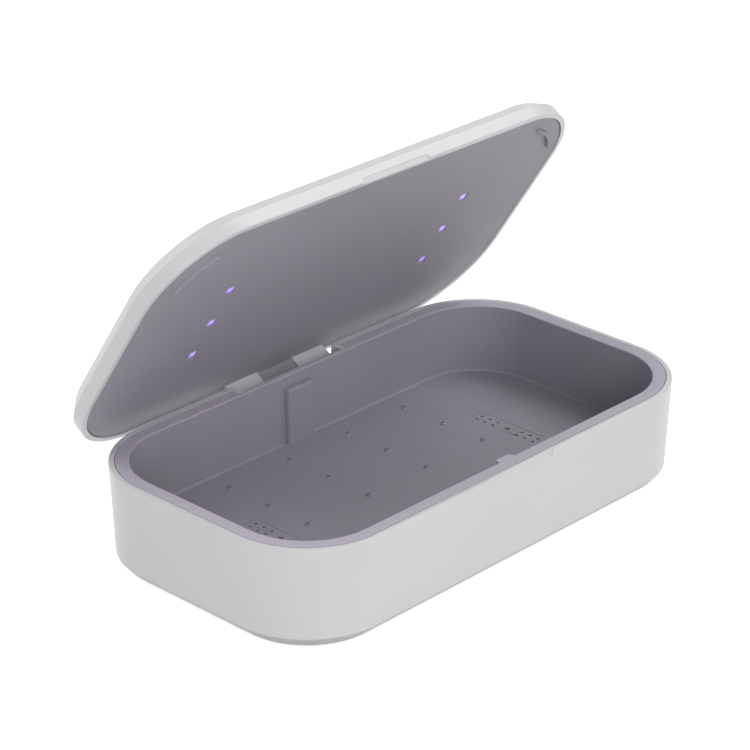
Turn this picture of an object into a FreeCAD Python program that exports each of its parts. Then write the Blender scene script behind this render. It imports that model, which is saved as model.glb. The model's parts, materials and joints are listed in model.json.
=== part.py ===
import FreeCAD, Part
import os

import Sketcher

# A table-top box that disinfects a phone: a white base with a grey tray, and a hinged lid with the lamps.
# +X runs along the long side, -Y is the front with the finger recess, +Z is up.
# The origin is the centre of the plane on which the rubber feet stand.
# Lid pieces are drawn closed, in the frame of the base, and turned open about the hinge by their placement.

document = FreeCAD.newDocument("uv_sterilizer_box")
Vector = FreeCAD.Vector

# Driving dimensions, millimetres and degrees
SIZES = (
    ("body_length", 220, "outer length at the rim"),
    ("body_depth", 123.4, "outer depth at the rim"),
    ("corner_radius", 36, "outer corner radius at the rim"),
    ("wall_taper", 1.5, "how far the base wall draws in towards its foot"),
    ("edge_round", 0.5, "rounding of the meeting edges of base and lid"),
    ("rim_land", 2.2, "width of the white land on the base rim"),
    ("ledge_width", 1, "ledge inside the shell that the tray sits on"),
    ("foot_proud", 1, "rubber feet below the bottom cover"),
    ("plinth_height", 4, "height of the slanted edge under the wall"),
    ("plinth_inset", 4, "how far the slanted edge draws in"),
    ("plinth_corner", 28.2, "corner radius at the foot of the slanted edge"),
    ("cover_thickness", 2, "bottom cover"),
    ("lip_height", 1.4, "height of the bottom cover's locating lip"),
    ("lip_wall", 1.4, "thickness of the bottom cover's locating lip"),
    ("lip_clearance", 0.2, "locating lip to the inside of the shell"),
    ("understory", 8, "space under the tray for the boards"),
    ("tray_gap", 0.25, "shadow gap round the tray's flange"),
    ("tray_land", 5.2, "width of the grey land round the mouth"),
    ("flange_thickness", 2, "tray flange"),
    ("tray_wall", 1.6, "tray wall and floor"),
    ("tray_depth", 28.4, "rim to floor"),
    ("tray_taper", 1, "how far the tray wall draws in towards the floor"),
    ("floor_round", 1, "round between the tray's wall and floor"),
    ("duct_width", 14, "raised duct on the tray's back wall"),
    ("duct_reach", 2.3, "duct, out from the wall at the floor"),
    ("duct_drop", 4.6, "duct top below the rim"),
    ("duct_round", 1.4, "duct edges"),
    ("sensor_bump_width", 8, "bump on the tray's front wall"),
    ("sensor_bump_reach", 2.1, "bump, out from the wall at the mouth"),
    ("dot_radius", 1.2, "raised dots on the tray floor, at their foot"),
    ("dot_top_radius", 0.6, "raised dots on the tray floor, at their top"),
    ("dot_height", 0.7, "raised dots on the tray floor"),
    ("dot_pitch_along", 32, "raised dots, along the box"),
    ("dot_pitch_across", 20.9, "raised dots, across the box"),
    ("grille_offset", 62.4, "scent grille, from the middle of the box"),
    ("grille_length", 35, "scent grille recess, across the box"),
    ("grille_width", 8.4, "scent grille recess, along the box"),
    ("grille_corner", 3.6, "scent grille recess, corner radius"),
    ("grille_recess", 0.3, "scent grille below the tray floor"),
    ("grille_thickness", 1.2, "scent grille"),
    ("grille_clearance", 0.15, "scent grille in its recess"),
    ("grille_ledge", 0.9, "ledge under the scent grille"),
    ("grille_hole", 0.6, "radius of the small holes"),
    ("drip_hole", 1.1, "radius of the hole for scented oil"),
    ("grille_hole_gap", 3.1, "between the two columns of holes"),
    ("grille_hole_pitch", 4.1, "between rows of holes"),
    ("grille_first_row", 6.25, "first row of holes from the middle"),
    ("pad_thickness", 2.4, "felt pad under the grille"),
    ("pad_clearance", 0.3, "felt pad in its well"),
    ("well_wall", 1.2, "well round the felt pad"),
    ("foot_inset_along", 26, "foot from the end of the box"),
    ("foot_inset_across", 23.7, "foot from the front or the back"),
    ("foot_radius", 5.5, "rubber foot"),
    ("foot_recess", 1, "depth of the foot's recess in the cover"),
    ("foot_clearance", 0.15, "foot in its recess"),
    ("screw_radius", 1.1, "cover screw shank"),
    ("screw_length", 7, "cover screw under its head"),
    ("screw_head_radius", 2.2, "cover screw head"),
    ("screw_head_height", 1.4, "cover screw head"),
    ("screw_clearance", 0.05, "screw in its hole"),
    ("boss_wall", 1.9, "wall round a screw hole"),
    ("board_length", 60, "main board, along the box"),
    ("board_width", 26, "main board, across the box"),
    ("board_thickness", 1.6, "main board"),
    ("board_offset", 22, "main board, from the middle of the box"),
    ("board_setback", 0.4, "main board from the cover's lip"),
    ("board_screw_inset", 4, "board screws from the ends of their board"),
    ("board_screw_radius", 0.9, "board screw shank"),
    ("board_screw_length", 2.2, "board screw under its board"),
    ("board_head_radius", 1.6, "board screw head"),
    ("board_head_height", 1, "board screw head"),
    ("chip_height", 1.1, "controller on the main board"),
    ("coil_height", 2.6, "power coil on the main board"),
    ("socket_offset", 36, "charging socket, from the middle of the box"),
    ("socket_width", 9, "charging socket"),
    ("socket_height", 3.2, "charging socket"),
    ("socket_length", 7.6, "charging socket"),
    ("socket_setback", 0.7, "charging socket behind the wall's face"),
    ("socket_clearance", 0.25, "charging socket in its slot"),
    ("socket_sheet", 0.35, "sheet metal of the charging socket"),
    ("lead_width", 7, "flat leads"),
    ("lead_thickness", 0.6, "flat leads"),
    ("lead_clearance", 0.25, "flat leads to what they pass"),
    ("sensor_width", 6, "lid sensor"),
    ("sensor_height", 10, "lid sensor"),
    ("sensor_thickness", 1.2, "lid sensor"),
    ("pocket_half", 26.8, "hinge pocket, half its width"),
    ("pocket_wall", 2.2, "legs and floor of the hinge pocket"),
    ("leg_reach", 0.7, "legs in front of the pocket's front wall"),
    ("arm_inner", 9.5, "inner end of each hinge arm"),
    ("arm_half", 2.4, "half the thickness of a hinge arm"),
    ("arm_side_clearance", 0.4, "arm to the pocket's leg"),
    ("hinge_drop", 8.4, "hinge axis below the rim"),
    ("hinge_clearance", 0.5, "arm to the pocket's front wall"),
    ("swing_clearance", 0.7, "arm to the pocket's floor"),
    ("tongue_thinning", 0.5, "tongue inside the arms' faces"),
    ("tongue_clearance", 0.3, "tongue to the arms and to the lid's edge"),
    ("pin_radius", 1, "hinge pin"),
    ("pin_clearance", 0.05, "hinge pin in the arm"),
    ("lid_open_angle", 56.7, "lid as photographed"),
    ("lid_gap", 0.6, "closed lid to the rim"),
    ("lid_wall_height", 5.3, "upright part of the lid's wall"),
    ("lid_chamfer", 4.1, "how far the lid's slanted edge draws in"),
    ("lid_top_wall", 2, "lid's top"),
    ("lid_land", 2.3, "width of the white land under the lid"),
    ("lid_ledge", 1, "ledge inside the lid that the panel sits on"),
    ("lid_cavity", 5.7, "space between the lid's panel and its top"),
    ("panel_gap", 0.4, "shadow gap round the lid panel"),
    ("panel_recess", 0.5, "lid panel behind the white land"),
    ("panel_thickness", 1.8, "lid panel"),
    ("rib_gap", 0.9, "corner rib to the tray's mouth, lid closed"),
    ("rib_wall", 1.4, "corner rib"),
    ("rib_height", 1.9, "corner rib below the panel"),
    ("rib_sweep", 46, "angle of the corner rib"),
    ("rib_round", 0.6, "rounded edges of the corner rib"),
    ("finger_width", 34.6, "finger recess in base and lid"),
    ("finger_height", 2.1, "finger recess in base and lid"),
    ("finger_inset", 1, "depth of the finger recess at the meeting edges"),
    ("finger_step", 0.4, "depth of the finger recess at its far edge"),
    ("finger_corner", 1.3, "corner radius of the finger recess"),
    ("lamp_offset", 61.8, "lamp row, from the middle of the box"),
    ("lamp_pitch", 19.15, "between lamps"),
    ("lamp_size", 3.5, "lamp package"),
    ("lamp_height", 2, "lamp package"),
    ("window_clearance", 0.4, "lamp to its window"),
    ("lamp_board_width", 14, "lamp board, along the box"),
    ("lamp_screw_gap", 4.7, "lamp board screw from the outer window"),
    ("lid_board_thickness", 1.2, "boards in the lid"),
    ("seat_height", 0.6, "seats of the boards on the lid panel"),
    ("magnet_radius", 2.5, "lid magnet"),
    ("magnet_height", 2, "lid magnet"),
    ("magnet_inset", 7.5, "lid magnet from the front face"),
    ("board_gap", 1, "button board from the magnet"),
    ("button_radius", 6.5, "power button"),
    ("button_proud", 0.5, "power button above the lid"),
    ("button_clearance", 0.3, "power button to its hole and its stop"),
    ("button_flange", 1.2, "button flange beyond the button"),
    ("button_flange_height", 0.8, "button flange"),
    ("button_stem_radius", 2, "stem under the button"),
    ("button_board_length", 24, "button board, along the box"),
    ("button_board_margin", 3, "button board beyond the switch and the indicator"),
    ("switch_size", 5, "push switch"),
    ("switch_height", 1.5, "push switch"),
    ("plunger_radius", 1.3, "plunger of the push switch"),
    ("plunger_proud", 0.9, "plunger above its switch"),
    ("plunger_sunk", 0.4, "plunger inside its switch"),
    ("plunger_clearance", 0.1, "plunger in its switch"),
    ("plunger_stroke", 0.8, "room below the plunger"),
    ("lens_radius", 1.2, "indicator lens"),
    ("lens_gap", 11.5, "indicator lens from the middle of the power button"),
    ("lens_depth", 1.6, "indicator lens below the lid's top wall"),
    ("lens_clearance", 0.05, "indicator lens in its hole"),
    ("indicator_size", 2, "indicator lamp"),
    ("indicator_height", 0.8, "indicator lamp"),
)

# Levels, insets and places that follow from the driving dimensions
DERIVED = (
    ("half_length", "sizes.body_length / 2", "outer face at the ends"),
    ("half_depth", "sizes.body_depth / 2", "outer face at front and back"),
    ("cover_floor", "sizes.foot_proud + sizes.cover_thickness", "inside of the bottom cover"),
    ("wall_foot", "sizes.foot_proud + sizes.plinth_height", "lower edge of the white wall"),
    ("tray_underside", "cover_floor + sizes.understory", "underside of the tray's floor"),
    ("floor_level", "tray_underside + sizes.tray_wall", "top of the tray's floor"),
    ("rim_level", "floor_level + sizes.tray_depth", "rim of the base"),
    ("bend_inset", "sizes.edge_round * (1 - cos(45))", "middle of a rounded edge"),
    ("shell_wall", "sizes.rim_land + sizes.ledge_width", "shell wall below the tray's flange"),
    ("tray_edge", "sizes.rim_land + sizes.tray_gap", "inset of the tray's flange"),
    ("mouth", "tray_edge + sizes.tray_land", "inset of the tray's mouth"),
    ("floor_edge", "mouth + sizes.tray_taper", "inset of the tray's wall at the floor"),
    ("lip_edge", "sizes.wall_taper + shell_wall + sizes.lip_clearance", "inset of the cover's lip"),
    ("board_back", "half_depth - lip_edge - sizes.lip_wall - sizes.board_setback", "main board's back edge"),
    ("board_top", "wall_foot + sizes.board_thickness", "top of the main board"),
    ("grille_foot", "floor_level - sizes.grille_recess - sizes.grille_thickness", "underside of the grille"),
    ("well_floor", "grille_foot - sizes.pad_thickness", "underside of the felt pad"),
    ("hinge_y", "half_depth - sizes.arm_half", "hinge axis"),
    ("hinge_z", "rim_level - sizes.hinge_drop", "hinge axis"),
    ("pocket_front", "hinge_y - sizes.arm_half - sizes.hinge_clearance", "front wall of the hinge pocket"),
    ("pocket_floor", "hinge_z - sizes.arm_half - sizes.swing_clearance", "floor of the hinge pocket"),
    ("leg_front", "pocket_front - sizes.leg_reach", "front end of the hinge legs"),
    ("arm_outer", "sizes.pocket_half - sizes.arm_side_clearance", "outer end of each hinge arm"),
    ("tongue_half", "sizes.arm_half - sizes.tongue_thinning", "half the thickness of the tongue"),
    ("lid_underside", "rim_level + sizes.lid_gap", "white land of the closed lid"),
    ("panel_face", "lid_underside + sizes.panel_recess", "face of the lid panel"),
    ("panel_back", "panel_face + sizes.panel_thickness", "inside of the lid panel"),
    ("lid_ceiling", "panel_back + sizes.lid_cavity", "inside of the lid's top"),
    ("lid_top", "lid_ceiling + sizes.lid_top_wall", "outside of the lid's top"),
    ("lid_fold", "lid_underside + sizes.lid_wall_height", "where the lid's wall turns into its slanted edge"),
    ("lid_wall", "sizes.lid_land + sizes.lid_ledge", "lid wall above the panel"),
    (
        "lid_lean",
        "sizes.lid_chamfer * (lid_ceiling - lid_fold) / (lid_top - lid_fold)",
        "how far the inside draws in up to the ceiling",
    ),
    ("lid_board", "panel_back + sizes.seat_height", "lower face of the boards in the lid"),
    ("lid_board_top", "lid_board + sizes.lid_board_thickness", "upper face of the boards in the lid"),
    ("window", "sizes.lamp_size + 2 * sizes.window_clearance", "lamp window"),
    ("rib_radius", "sizes.corner_radius - mouth - sizes.rib_gap", "outer radius of the corner rib"),
    ("lamp_screw_y", "sizes.lamp_pitch + window / 2 + sizes.lamp_screw_gap", "lamp board screws"),
    ("lamp_board_length", "2 * (lamp_screw_y + sizes.board_screw_inset)", "lamp board, across the box"),
    ("magnet_y", "sizes.magnet_inset - half_depth", "middle of the lid magnet"),
    (
        "button_board_front",
        "magnet_y + sizes.magnet_radius + sizes.board_gap",
        "front edge of the button board",
    ),
    ("lens_y", "button_board_front + sizes.button_board_margin", "middle of the indicator lens"),
    ("button_y", "lens_y + sizes.lens_gap", "middle of the power button"),
    (
        "button_board_back",
        "button_y + sizes.switch_size / 2 + sizes.button_board_margin",
        "back edge of the button board",
    ),
    (
        "lid_screw_length",
        "lid_board_top - panel_back + 0.55 * sizes.panel_thickness",
        "screws of the boards in the lid, under the head",
    ),
    ("switch_top", "lid_board_top + sizes.switch_height", "top of the push switch"),
    ("plunger_top", "switch_top + sizes.plunger_proud", "where the button's stem meets the plunger"),
    ("flange_top", "lid_ceiling - sizes.button_clearance", "top of the button's flange"),
    ("lid_lead_front", "hinge_y - sizes.lead_thickness - sizes.lead_clearance", "lid's lead, front face"),
    ("wall_inside_foot", "half_depth - sizes.wall_taper - shell_wall", "inside of the back wall at its foot"),
    ("base_lead_back", "wall_inside_foot - sizes.lead_clearance", "back face of the base's lead"),
    ("base_lead_front", "base_lead_back - sizes.lead_thickness", "front face of the base's lead"),
    (
        "finger_lean",
        "atan((sizes.finger_inset - sizes.finger_step) / sizes.finger_height)",
        "slant of the finger recess",
    ),
)

DOT_COLUMNS = 4
DOT_ROWS = 5
GRILLE_ROWS = 3
SIDES = (("left", "-"), ("right", ""))
ENDS = (("front", "-"), ("rear", ""))
OPENING_TURN = Vector(-1, 0, 0)
LEVEL_TOLERANCE = 1e-4

pieces = []


# Sheet, binding and sketch helpers
def make_sheet(name, rows):
    sheet = document.addObject("Spreadsheet::Sheet", name)
    for row, (alias, content, note) in enumerate(rows, start=1):
        sheet.set(f"A{row}", note)
        sheet.set(f"B{row}", content)
        sheet.setAlias(f"B{row}", alias)
    return sheet


make_sheet("sizes", [(alias, str(number), note) for alias, number, note in SIZES])
derived = make_sheet("derived", [(alias, "=" + formula, note) for alias, formula, note in DERIVED])
document.recompute()


def value(formula):
    return float(derived.evalExpression(formula))


def bind(feature, **formulas):
    for name, formula in formulas.items():
        feature.setExpression(name, formula)


def place(feature, x, y, z):
    for axis, formula in zip("xyz", (x, y, z)):
        feature.setExpression("Placement.Base." + axis, formula)


def keep(piece):
    """Counts an object among the pieces that are written out."""
    piece.Label = piece.Name
    pieces.append(piece)
    return piece


def new_body(name):
    return keep(document.addObject("PartDesign::Body", name))


def on_lid(piece):
    """Turns a piece that is drawn closed to the open lid, about the hinge axis."""
    piece.Placement = FreeCAD.Placement(Vector(), FreeCAD.Rotation(OPENING_TURN, 1))
    turn = "sizes.lid_open_angle"
    piece.setExpression("Placement.Rotation.Angle", turn)
    place(
        piece,
        "0",
        f"derived.hinge_y * (1 - cos({turn})) - derived.hinge_z * sin({turn})",
        f"derived.hinge_z * (1 - cos({turn})) + derived.hinge_y * sin({turn})",
    )
    return piece


def new_sketch(body, name, plane, along="0", up="0", out="0", tilt=None):
    """A sketch on one of the body's origin planes, moved within the plane and off it, and tilted if asked."""
    sketch = body.newObject("Sketcher::SketchObject", name)
    support = next(feature for feature in body.Origin.OriginFeatures if feature.Role == plane)
    sketch.AttachmentSupport = [(support, "")]
    sketch.MapMode = "FlatFace"
    if tilt:
        lean_axis, angle = tilt
        sketch.AttachmentOffset = FreeCAD.Placement(Vector(), FreeCAD.Rotation(lean_axis, 1))
        sketch.setExpression("AttachmentOffset.Rotation.Angle", angle)
    for axis, formula in zip("xyz", (along, up, out)):
        sketch.setExpression("AttachmentOffset.Base." + axis, formula)
    return sketch


def dimension(sketch, formula, kind, *where):
    """A driving constraint bound to a formula."""
    number = sketch.addConstraint(Sketcher.Constraint(kind, *where, value(formula)))
    sketch.setExpression(f"Constraints[{number}]", formula)


def rounded_rectangle(sketch, length, depth, radius):
    """Four lines and four tangent arcs, centred on the sketch's origin."""
    reach_x = value(length) / 2
    reach_y = value(depth) / 2
    corner = value(radius)
    arc_x = reach_x - corner
    arc_y = reach_y - corner
    ends = ((-arc_x, -reach_y), (arc_x, -reach_y), (reach_x, -arc_y), (reach_x, arc_y))
    ends = ends + tuple((-x, -y) for x, y in ends)
    centres = ((arc_x, -arc_y), (arc_x, arc_y), (-arc_x, arc_y), (-arc_x, -arc_y))
    first = sketch.GeometryCount
    for quarter, centre in enumerate(centres):
        start = Vector(*ends[2 * quarter])
        end = Vector(*ends[2 * quarter + 1])
        sketch.addGeometry(Part.LineSegment(start, end))
        after = Vector(*ends[(2 * quarter + 2) % 8])
        middle = Vector(*centre)
        bulge = middle + ((end - middle) + (after - middle)).normalize() * corner
        sketch.addGeometry(Part.Arc(end, bulge, after))
    for step in range(8):
        sketch.addConstraint(Sketcher.Constraint("Tangent", first + step, 2, first + (step + 1) % 8, 1))
    for step, direction in ((0, "Horizontal"), (2, "Vertical"), (4, "Horizontal"), (6, "Vertical")):
        sketch.addConstraint(Sketcher.Constraint(direction, first + step))
    for arc in (3, 5, 7):
        sketch.addConstraint(Sketcher.Constraint("Equal", first + 1, first + arc))
    sketch.addConstraint(Sketcher.Constraint("Symmetric", first + 1, 3, first + 5, 3, -1, 1))
    dimension(sketch, radius, "Radius", first + 1)
    dimension(sketch, length, "DistanceX", first + 6, 1, first + 2, 1)
    dimension(sketch, depth, "DistanceY", first, 1, first + 4, 1)


def pin_point(sketch, geometry, position, x, y):
    """Ties a point of the sketch to two formulas, or to an axis where the formula is 0."""
    for formula, kind, axis in ((x, "DistanceX", -2), (y, "DistanceY", -1)):
        if formula == "0":
            sketch.addConstraint(Sketcher.Constraint("PointOnObject", geometry, position, axis))
        else:
            dimension(sketch, formula, kind, -1, 1, geometry, position)


def polygon(sketch, corners):
    points = [Vector(value(x), value(y)) for x, y in corners]
    count = len(points)
    for step in range(count):
        sketch.addGeometry(Part.LineSegment(points[step], points[(step + 1) % count]))
    for step in range(count):
        sketch.addConstraint(Sketcher.Constraint("Coincident", step, 2, (step + 1) % count, 1))
    for step, (x, y) in enumerate(corners):
        pin_point(sketch, step, 1, x, y)


def circle(sketch, x, y, radius):
    centre = Vector(value(x), value(y))
    number = sketch.addGeometry(Part.Circle(centre, Vector(0, 0, 1), value(radius)))
    pin_point(sketch, number, 3, x, y)
    dimension(sketch, radius, "Radius", number)


def round_ended(sketch, half, top):
    """An upright strip with a half-round lower end about the sketch's origin."""
    reach = value(half)
    height = value(top)
    sketch.addGeometry(Part.Arc(Vector(-reach, 0), Vector(0, -reach), Vector(reach, 0)))
    sketch.addGeometry(Part.LineSegment(Vector(reach, 0), Vector(reach, height)))
    sketch.addGeometry(Part.LineSegment(Vector(reach, height), Vector(-reach, height)))
    sketch.addGeometry(Part.LineSegment(Vector(-reach, height), Vector(-reach, 0)))
    sketch.addConstraint(Sketcher.Constraint("Tangent", 0, 2, 1, 1))
    sketch.addConstraint(Sketcher.Constraint("Coincident", 1, 2, 2, 1))
    sketch.addConstraint(Sketcher.Constraint("Coincident", 2, 2, 3, 1))
    sketch.addConstraint(Sketcher.Constraint("Tangent", 3, 2, 0, 1))
    sketch.addConstraint(Sketcher.Constraint("Coincident", 0, 3, -1, 1))
    sketch.addConstraint(Sketcher.Constraint("Vertical", 1))
    sketch.addConstraint(Sketcher.Constraint("Horizontal", 2))
    dimension(sketch, half, "Radius", 0)
    dimension(sketch, top, "DistanceY", -1, 1, 1, 2)


# Feature helpers
def outline(body, name, level, inset, radius=None):
    """The box's rounded outline, drawn in by an inset, at a level."""
    sketch = new_sketch(body, name, "XY_Plane", out=level)
    rounded_rectangle(
        sketch,
        f"sizes.body_length - 2 * ({inset})",
        f"sizes.body_depth - 2 * ({inset})",
        radius or f"sizes.corner_radius - ({inset})",
    )
    return sketch


def extrude(body, kind, sketch, length, flip=False, both=False):
    feature = body.newObject("PartDesign::" + kind, sketch.Name + "_" + kind.lower())
    feature.Profile = sketch
    feature.Reversed = flip
    feature.SideType = "Symmetric" if both else "One side"
    bind(feature, Length=length)
    return feature


def loft(body, kind, low, *higher):
    """Straight walls from one outline to the next."""
    feature = body.newObject(f"PartDesign::{kind}Loft", low.Name + "_loft")
    feature.Profile = low
    feature.Sections = list(higher)
    feature.Ruled = True
    return feature


def block(body, kind, name, x, y, z):
    """Adds or takes away a box between three pairs of limits."""
    feature = body.newObject(f"PartDesign::{kind}Box", name)
    spans = [f"({high}) - ({low})" for low, high in (x, y, z)]
    bind(feature, Length=spans[0], Width=spans[1], Height=spans[2])
    place(feature, x[0], y[0], z[0])
    return feature


def post(body, kind, name, x, y, z, radius):
    """Adds or takes away an upright cylinder between two levels."""
    feature = body.newObject(f"PartDesign::{kind}Cylinder", name)
    bind(feature, Radius=radius, Height=f"({z[1]}) - ({z[0]})")
    place(feature, x, y, z[0])
    return feature


def round_edges(body, name, radius, chosen):
    """Rounds those edges of the body so far that the test picks."""
    document.recompute()
    base = body.Tip
    edges = [f"Edge{number}" for number, edge in enumerate(base.Shape.Edges, start=1) if chosen(edge)]
    feature = body.newObject("PartDesign::Fillet", name)
    feature.Base = (base, edges)
    bind(feature, Radius=radius)
    return feature


def at_level(formula):
    level = value(formula)
    return lambda edge: all(abs(vertex.Z - level) < LEVEL_TOLERANCE for vertex in edge.Vertexes)


def finger_recess(body, level, axis):
    """A slanted scoop with round corners in the front edge, leaning back about an axis towards that edge."""
    sketch = new_sketch(
        body,
        "finger_scoop",
        "XZ_Plane",
        up=level,
        out="derived.half_depth - sizes.finger_inset",
        tilt=(axis, "derived.finger_lean"),
    )
    both_ways = "2 * sizes.finger_height / cos(derived.finger_lean)"
    rounded_rectangle(sketch, "sizes.finger_width", both_ways, "sizes.finger_corner")
    return extrude(body, "Pocket", sketch, "2 * sizes.finger_inset", flip=True)


def turned(name, x, y, corners):
    """A piece turned about an upright axis from a half section of radius and level."""
    body = new_body(name)
    sketch = new_sketch(body, name + "_section", "XZ_Plane", along=x, out=f"-({y})")
    polygon(sketch, corners)
    feature = body.newObject("PartDesign::Revolution", name + "_turn")
    feature.Profile = sketch
    feature.ReferenceAxis = (sketch, ["V_Axis"])
    feature.Angle = 360
    return body


def slab(name, x, y, z):
    """A plain box between three pairs of limits."""
    box = document.addObject("Part::Box", name)
    spans = [f"({high}) - ({low})" for low, high in (x, y, z)]
    bind(box, Length=spans[0], Width=spans[1], Height=spans[2])
    place(box, x[0], y[0], z[0])
    return box


def group(name, members):
    """One piece made of several alike that lie apart."""
    for member in members:
        if member in pieces:
            pieces.remove(member)
    compound = document.addObject("Part::Compound", name)
    compound.Links = members
    return keep(compound)


def span(middle, width):
    """Two limits, half a width either side of a middle."""
    return (f"({middle}) - ({width}) / 2", f"({middle}) + ({width}) / 2")


def foot_places():
    for end, across in ENDS:
        for side, along in SIDES:
            x = f"{along}(derived.half_length - sizes.foot_inset_along)"
            yield f"{end}_{side}", x, f"{across}(derived.half_depth - sizes.foot_inset_across)"


def board_screw_places():
    for side, sign in (("left", "-"), ("right", "+")):
        x = f"sizes.board_offset {sign} (sizes.board_length / 2 - sizes.board_screw_inset)"
        yield side, x, "derived.board_back - sizes.board_width / 2"


def lid_screw_places():
    for side, sign in SIDES:
        for end, across in ENDS:
            yield f"lamp_{side}_{end}", f"{sign}sizes.lamp_offset", f"{across}derived.lamp_screw_y"
        x = f"{sign}(sizes.button_board_length / 2 - sizes.board_screw_inset)"
        yield f"button_{side}", x, "derived.button_y"


def screw(name, x, y, seat, radius, length, head_radius, head_height, points_up):
    """A pan-head screw whose head bears on the level called seat."""
    head = "-" if points_up else "+"
    tip = "+" if points_up else "-"
    return turned(
        name,
        x,
        y,
        (
            ("0", f"{seat} {head} {head_height}"),
            (f"0.7 * {head_radius}", f"{seat} {head} {head_height}"),
            (head_radius, f"{seat} {head} {head_height} / 2"),
            (head_radius, seat),
            (radius, seat),
            (radius, f"{seat} {tip} ({length} - {radius})"),
            ("0", f"{seat} {tip} {length}"),
        ),
    )


# White shell of the base, with the hinge pocket in its back
def make_base_shell():
    shell = new_body("base_shell")
    foot = outline(shell, "wall_foot_outline", "derived.wall_foot", "sizes.wall_taper")
    shoulder = outline(shell, "wall_shoulder", "derived.rim_level - sizes.edge_round", "0")
    bend = outline(shell, "wall_bend", "derived.rim_level - derived.bend_inset", "derived.bend_inset")
    rim = outline(shell, "wall_rim_outline", "derived.rim_level", "sizes.edge_round")
    loft(shell, "Additive", foot, shoulder, bend, rim)
    inner_foot = outline(shell, "cavity_foot", "derived.wall_foot", "sizes.wall_taper + derived.shell_wall")
    inner_rim = outline(shell, "cavity_rim", "derived.rim_level", "derived.shell_wall")
    loft(shell, "Subtractive", inner_foot, inner_rim)
    flange_seat = outline(shell, "flange_seat", "derived.rim_level", "sizes.rim_land")
    extrude(shell, "Pocket", flange_seat, "sizes.flange_thickness")
    housing = "sizes.pocket_half + sizes.pocket_wall"
    back_wall = "derived.half_depth - sizes.rim_land / 2 - sizes.wall_taper"
    block(
        shell,
        "Additive",
        "hinge_housing",
        x=(f"-({housing})", housing),
        y=("derived.leg_front", back_wall),
        z=("derived.pocket_floor - sizes.pocket_wall", "derived.rim_level"),
    )
    block(
        shell,
        "Subtractive",
        "hinge_pocket",
        x=("-sizes.pocket_half", "sizes.pocket_half"),
        y=("derived.leg_front - sizes.pocket_wall", "derived.half_depth + sizes.pocket_wall"),
        z=("derived.pocket_floor", "derived.rim_level + sizes.pocket_wall"),
    )
    block(
        shell,
        "Subtractive",
        "lead_slot",
        x=span("0", "sizes.lead_width + 2 * sizes.lead_clearance"),
        y=("derived.base_lead_front - sizes.lead_clearance", "derived.base_lead_back + sizes.lead_clearance"),
        z=("derived.pocket_floor - 2 * sizes.pocket_wall", "derived.pocket_floor + sizes.pocket_wall"),
    )
    for side, sign in SIDES:
        sketch = new_sketch(shell, f"pin_hole_{side}", "YZ_Plane", out=f"{sign}sizes.pocket_half")
        circle(sketch, "derived.hinge_y", "derived.hinge_z", "sizes.pin_radius")
        extrude(shell, "Pocket", sketch, "sizes.pocket_wall", flip=(sign == ""))
    slot = new_sketch(
        shell,
        "socket_slot",
        "XZ_Plane",
        along="sizes.socket_offset",
        up="derived.board_top + sizes.socket_height / 2",
        out="-derived.half_depth - sizes.socket_length",
    )
    slot_height = "(sizes.socket_height + 2 * sizes.socket_clearance)"
    slot_width = "sizes.socket_width + 2 * sizes.socket_clearance"
    rounded_rectangle(slot, slot_width, slot_height, f"0.45 * {slot_height}")
    extrude(shell, "Pocket", slot, "2 * sizes.socket_length", flip=True)
    finger_recess(shell, "derived.rim_level", Vector(-1, 0, 0))


# Grey tray: flange, tapered walls, duct, sensor bump, raised dots, scent wells and screw bosses
def make_inner_tray():
    tray = new_body("inner_tray")
    skin_foot = outline(tray, "skin_foot", "derived.tray_underside", "derived.floor_edge - sizes.tray_wall")
    skin_rim = outline(tray, "skin_rim", "derived.rim_level", "derived.mouth - sizes.tray_wall")
    loft(tray, "Additive", skin_foot, skin_rim)
    flange = outline(tray, "flange_outline", "derived.rim_level", "derived.tray_edge")
    extrude(tray, "Pad", flange, "sizes.flange_thickness", flip=True)
    floor_edge = outline(tray, "floor_outline", "derived.floor_level", "derived.floor_edge")
    mouth = outline(tray, "mouth_outline", "derived.rim_level - sizes.edge_round", "derived.mouth")
    bend_level = "derived.rim_level - derived.bend_inset"
    bend = outline(tray, "mouth_bend", bend_level, "derived.mouth - derived.bend_inset")
    lip = outline(tray, "mouth_lip", "derived.rim_level", "derived.mouth - sizes.edge_round")
    loft(tray, "Subtractive", floor_edge, mouth, bend, lip)
    round_edges(tray, "floor_edge_round", "sizes.floor_round", at_level("derived.floor_level"))
    make_duct(tray)
    make_sensor_bump(tray)
    for side, sign in SIDES:
        make_scent_well(tray, side, f"{sign}sizes.grille_offset")
    make_dots(tray)
    for name, x, y in foot_places():
        reach = ("derived.wall_foot", "derived.tray_underside + sizes.tray_wall / 2")
        post(tray, "Additive", "boss_" + name, x, y, reach, "sizes.screw_radius + sizes.boss_wall")
        hole = ("derived.wall_foot - sizes.boss_wall", "derived.tray_underside")
        hole_radius = "sizes.screw_radius + sizes.screw_clearance"
        post(tray, "Subtractive", "boss_hole_" + name, x, y, hole, hole_radius)
    make_hinge_notches(tray)


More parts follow.
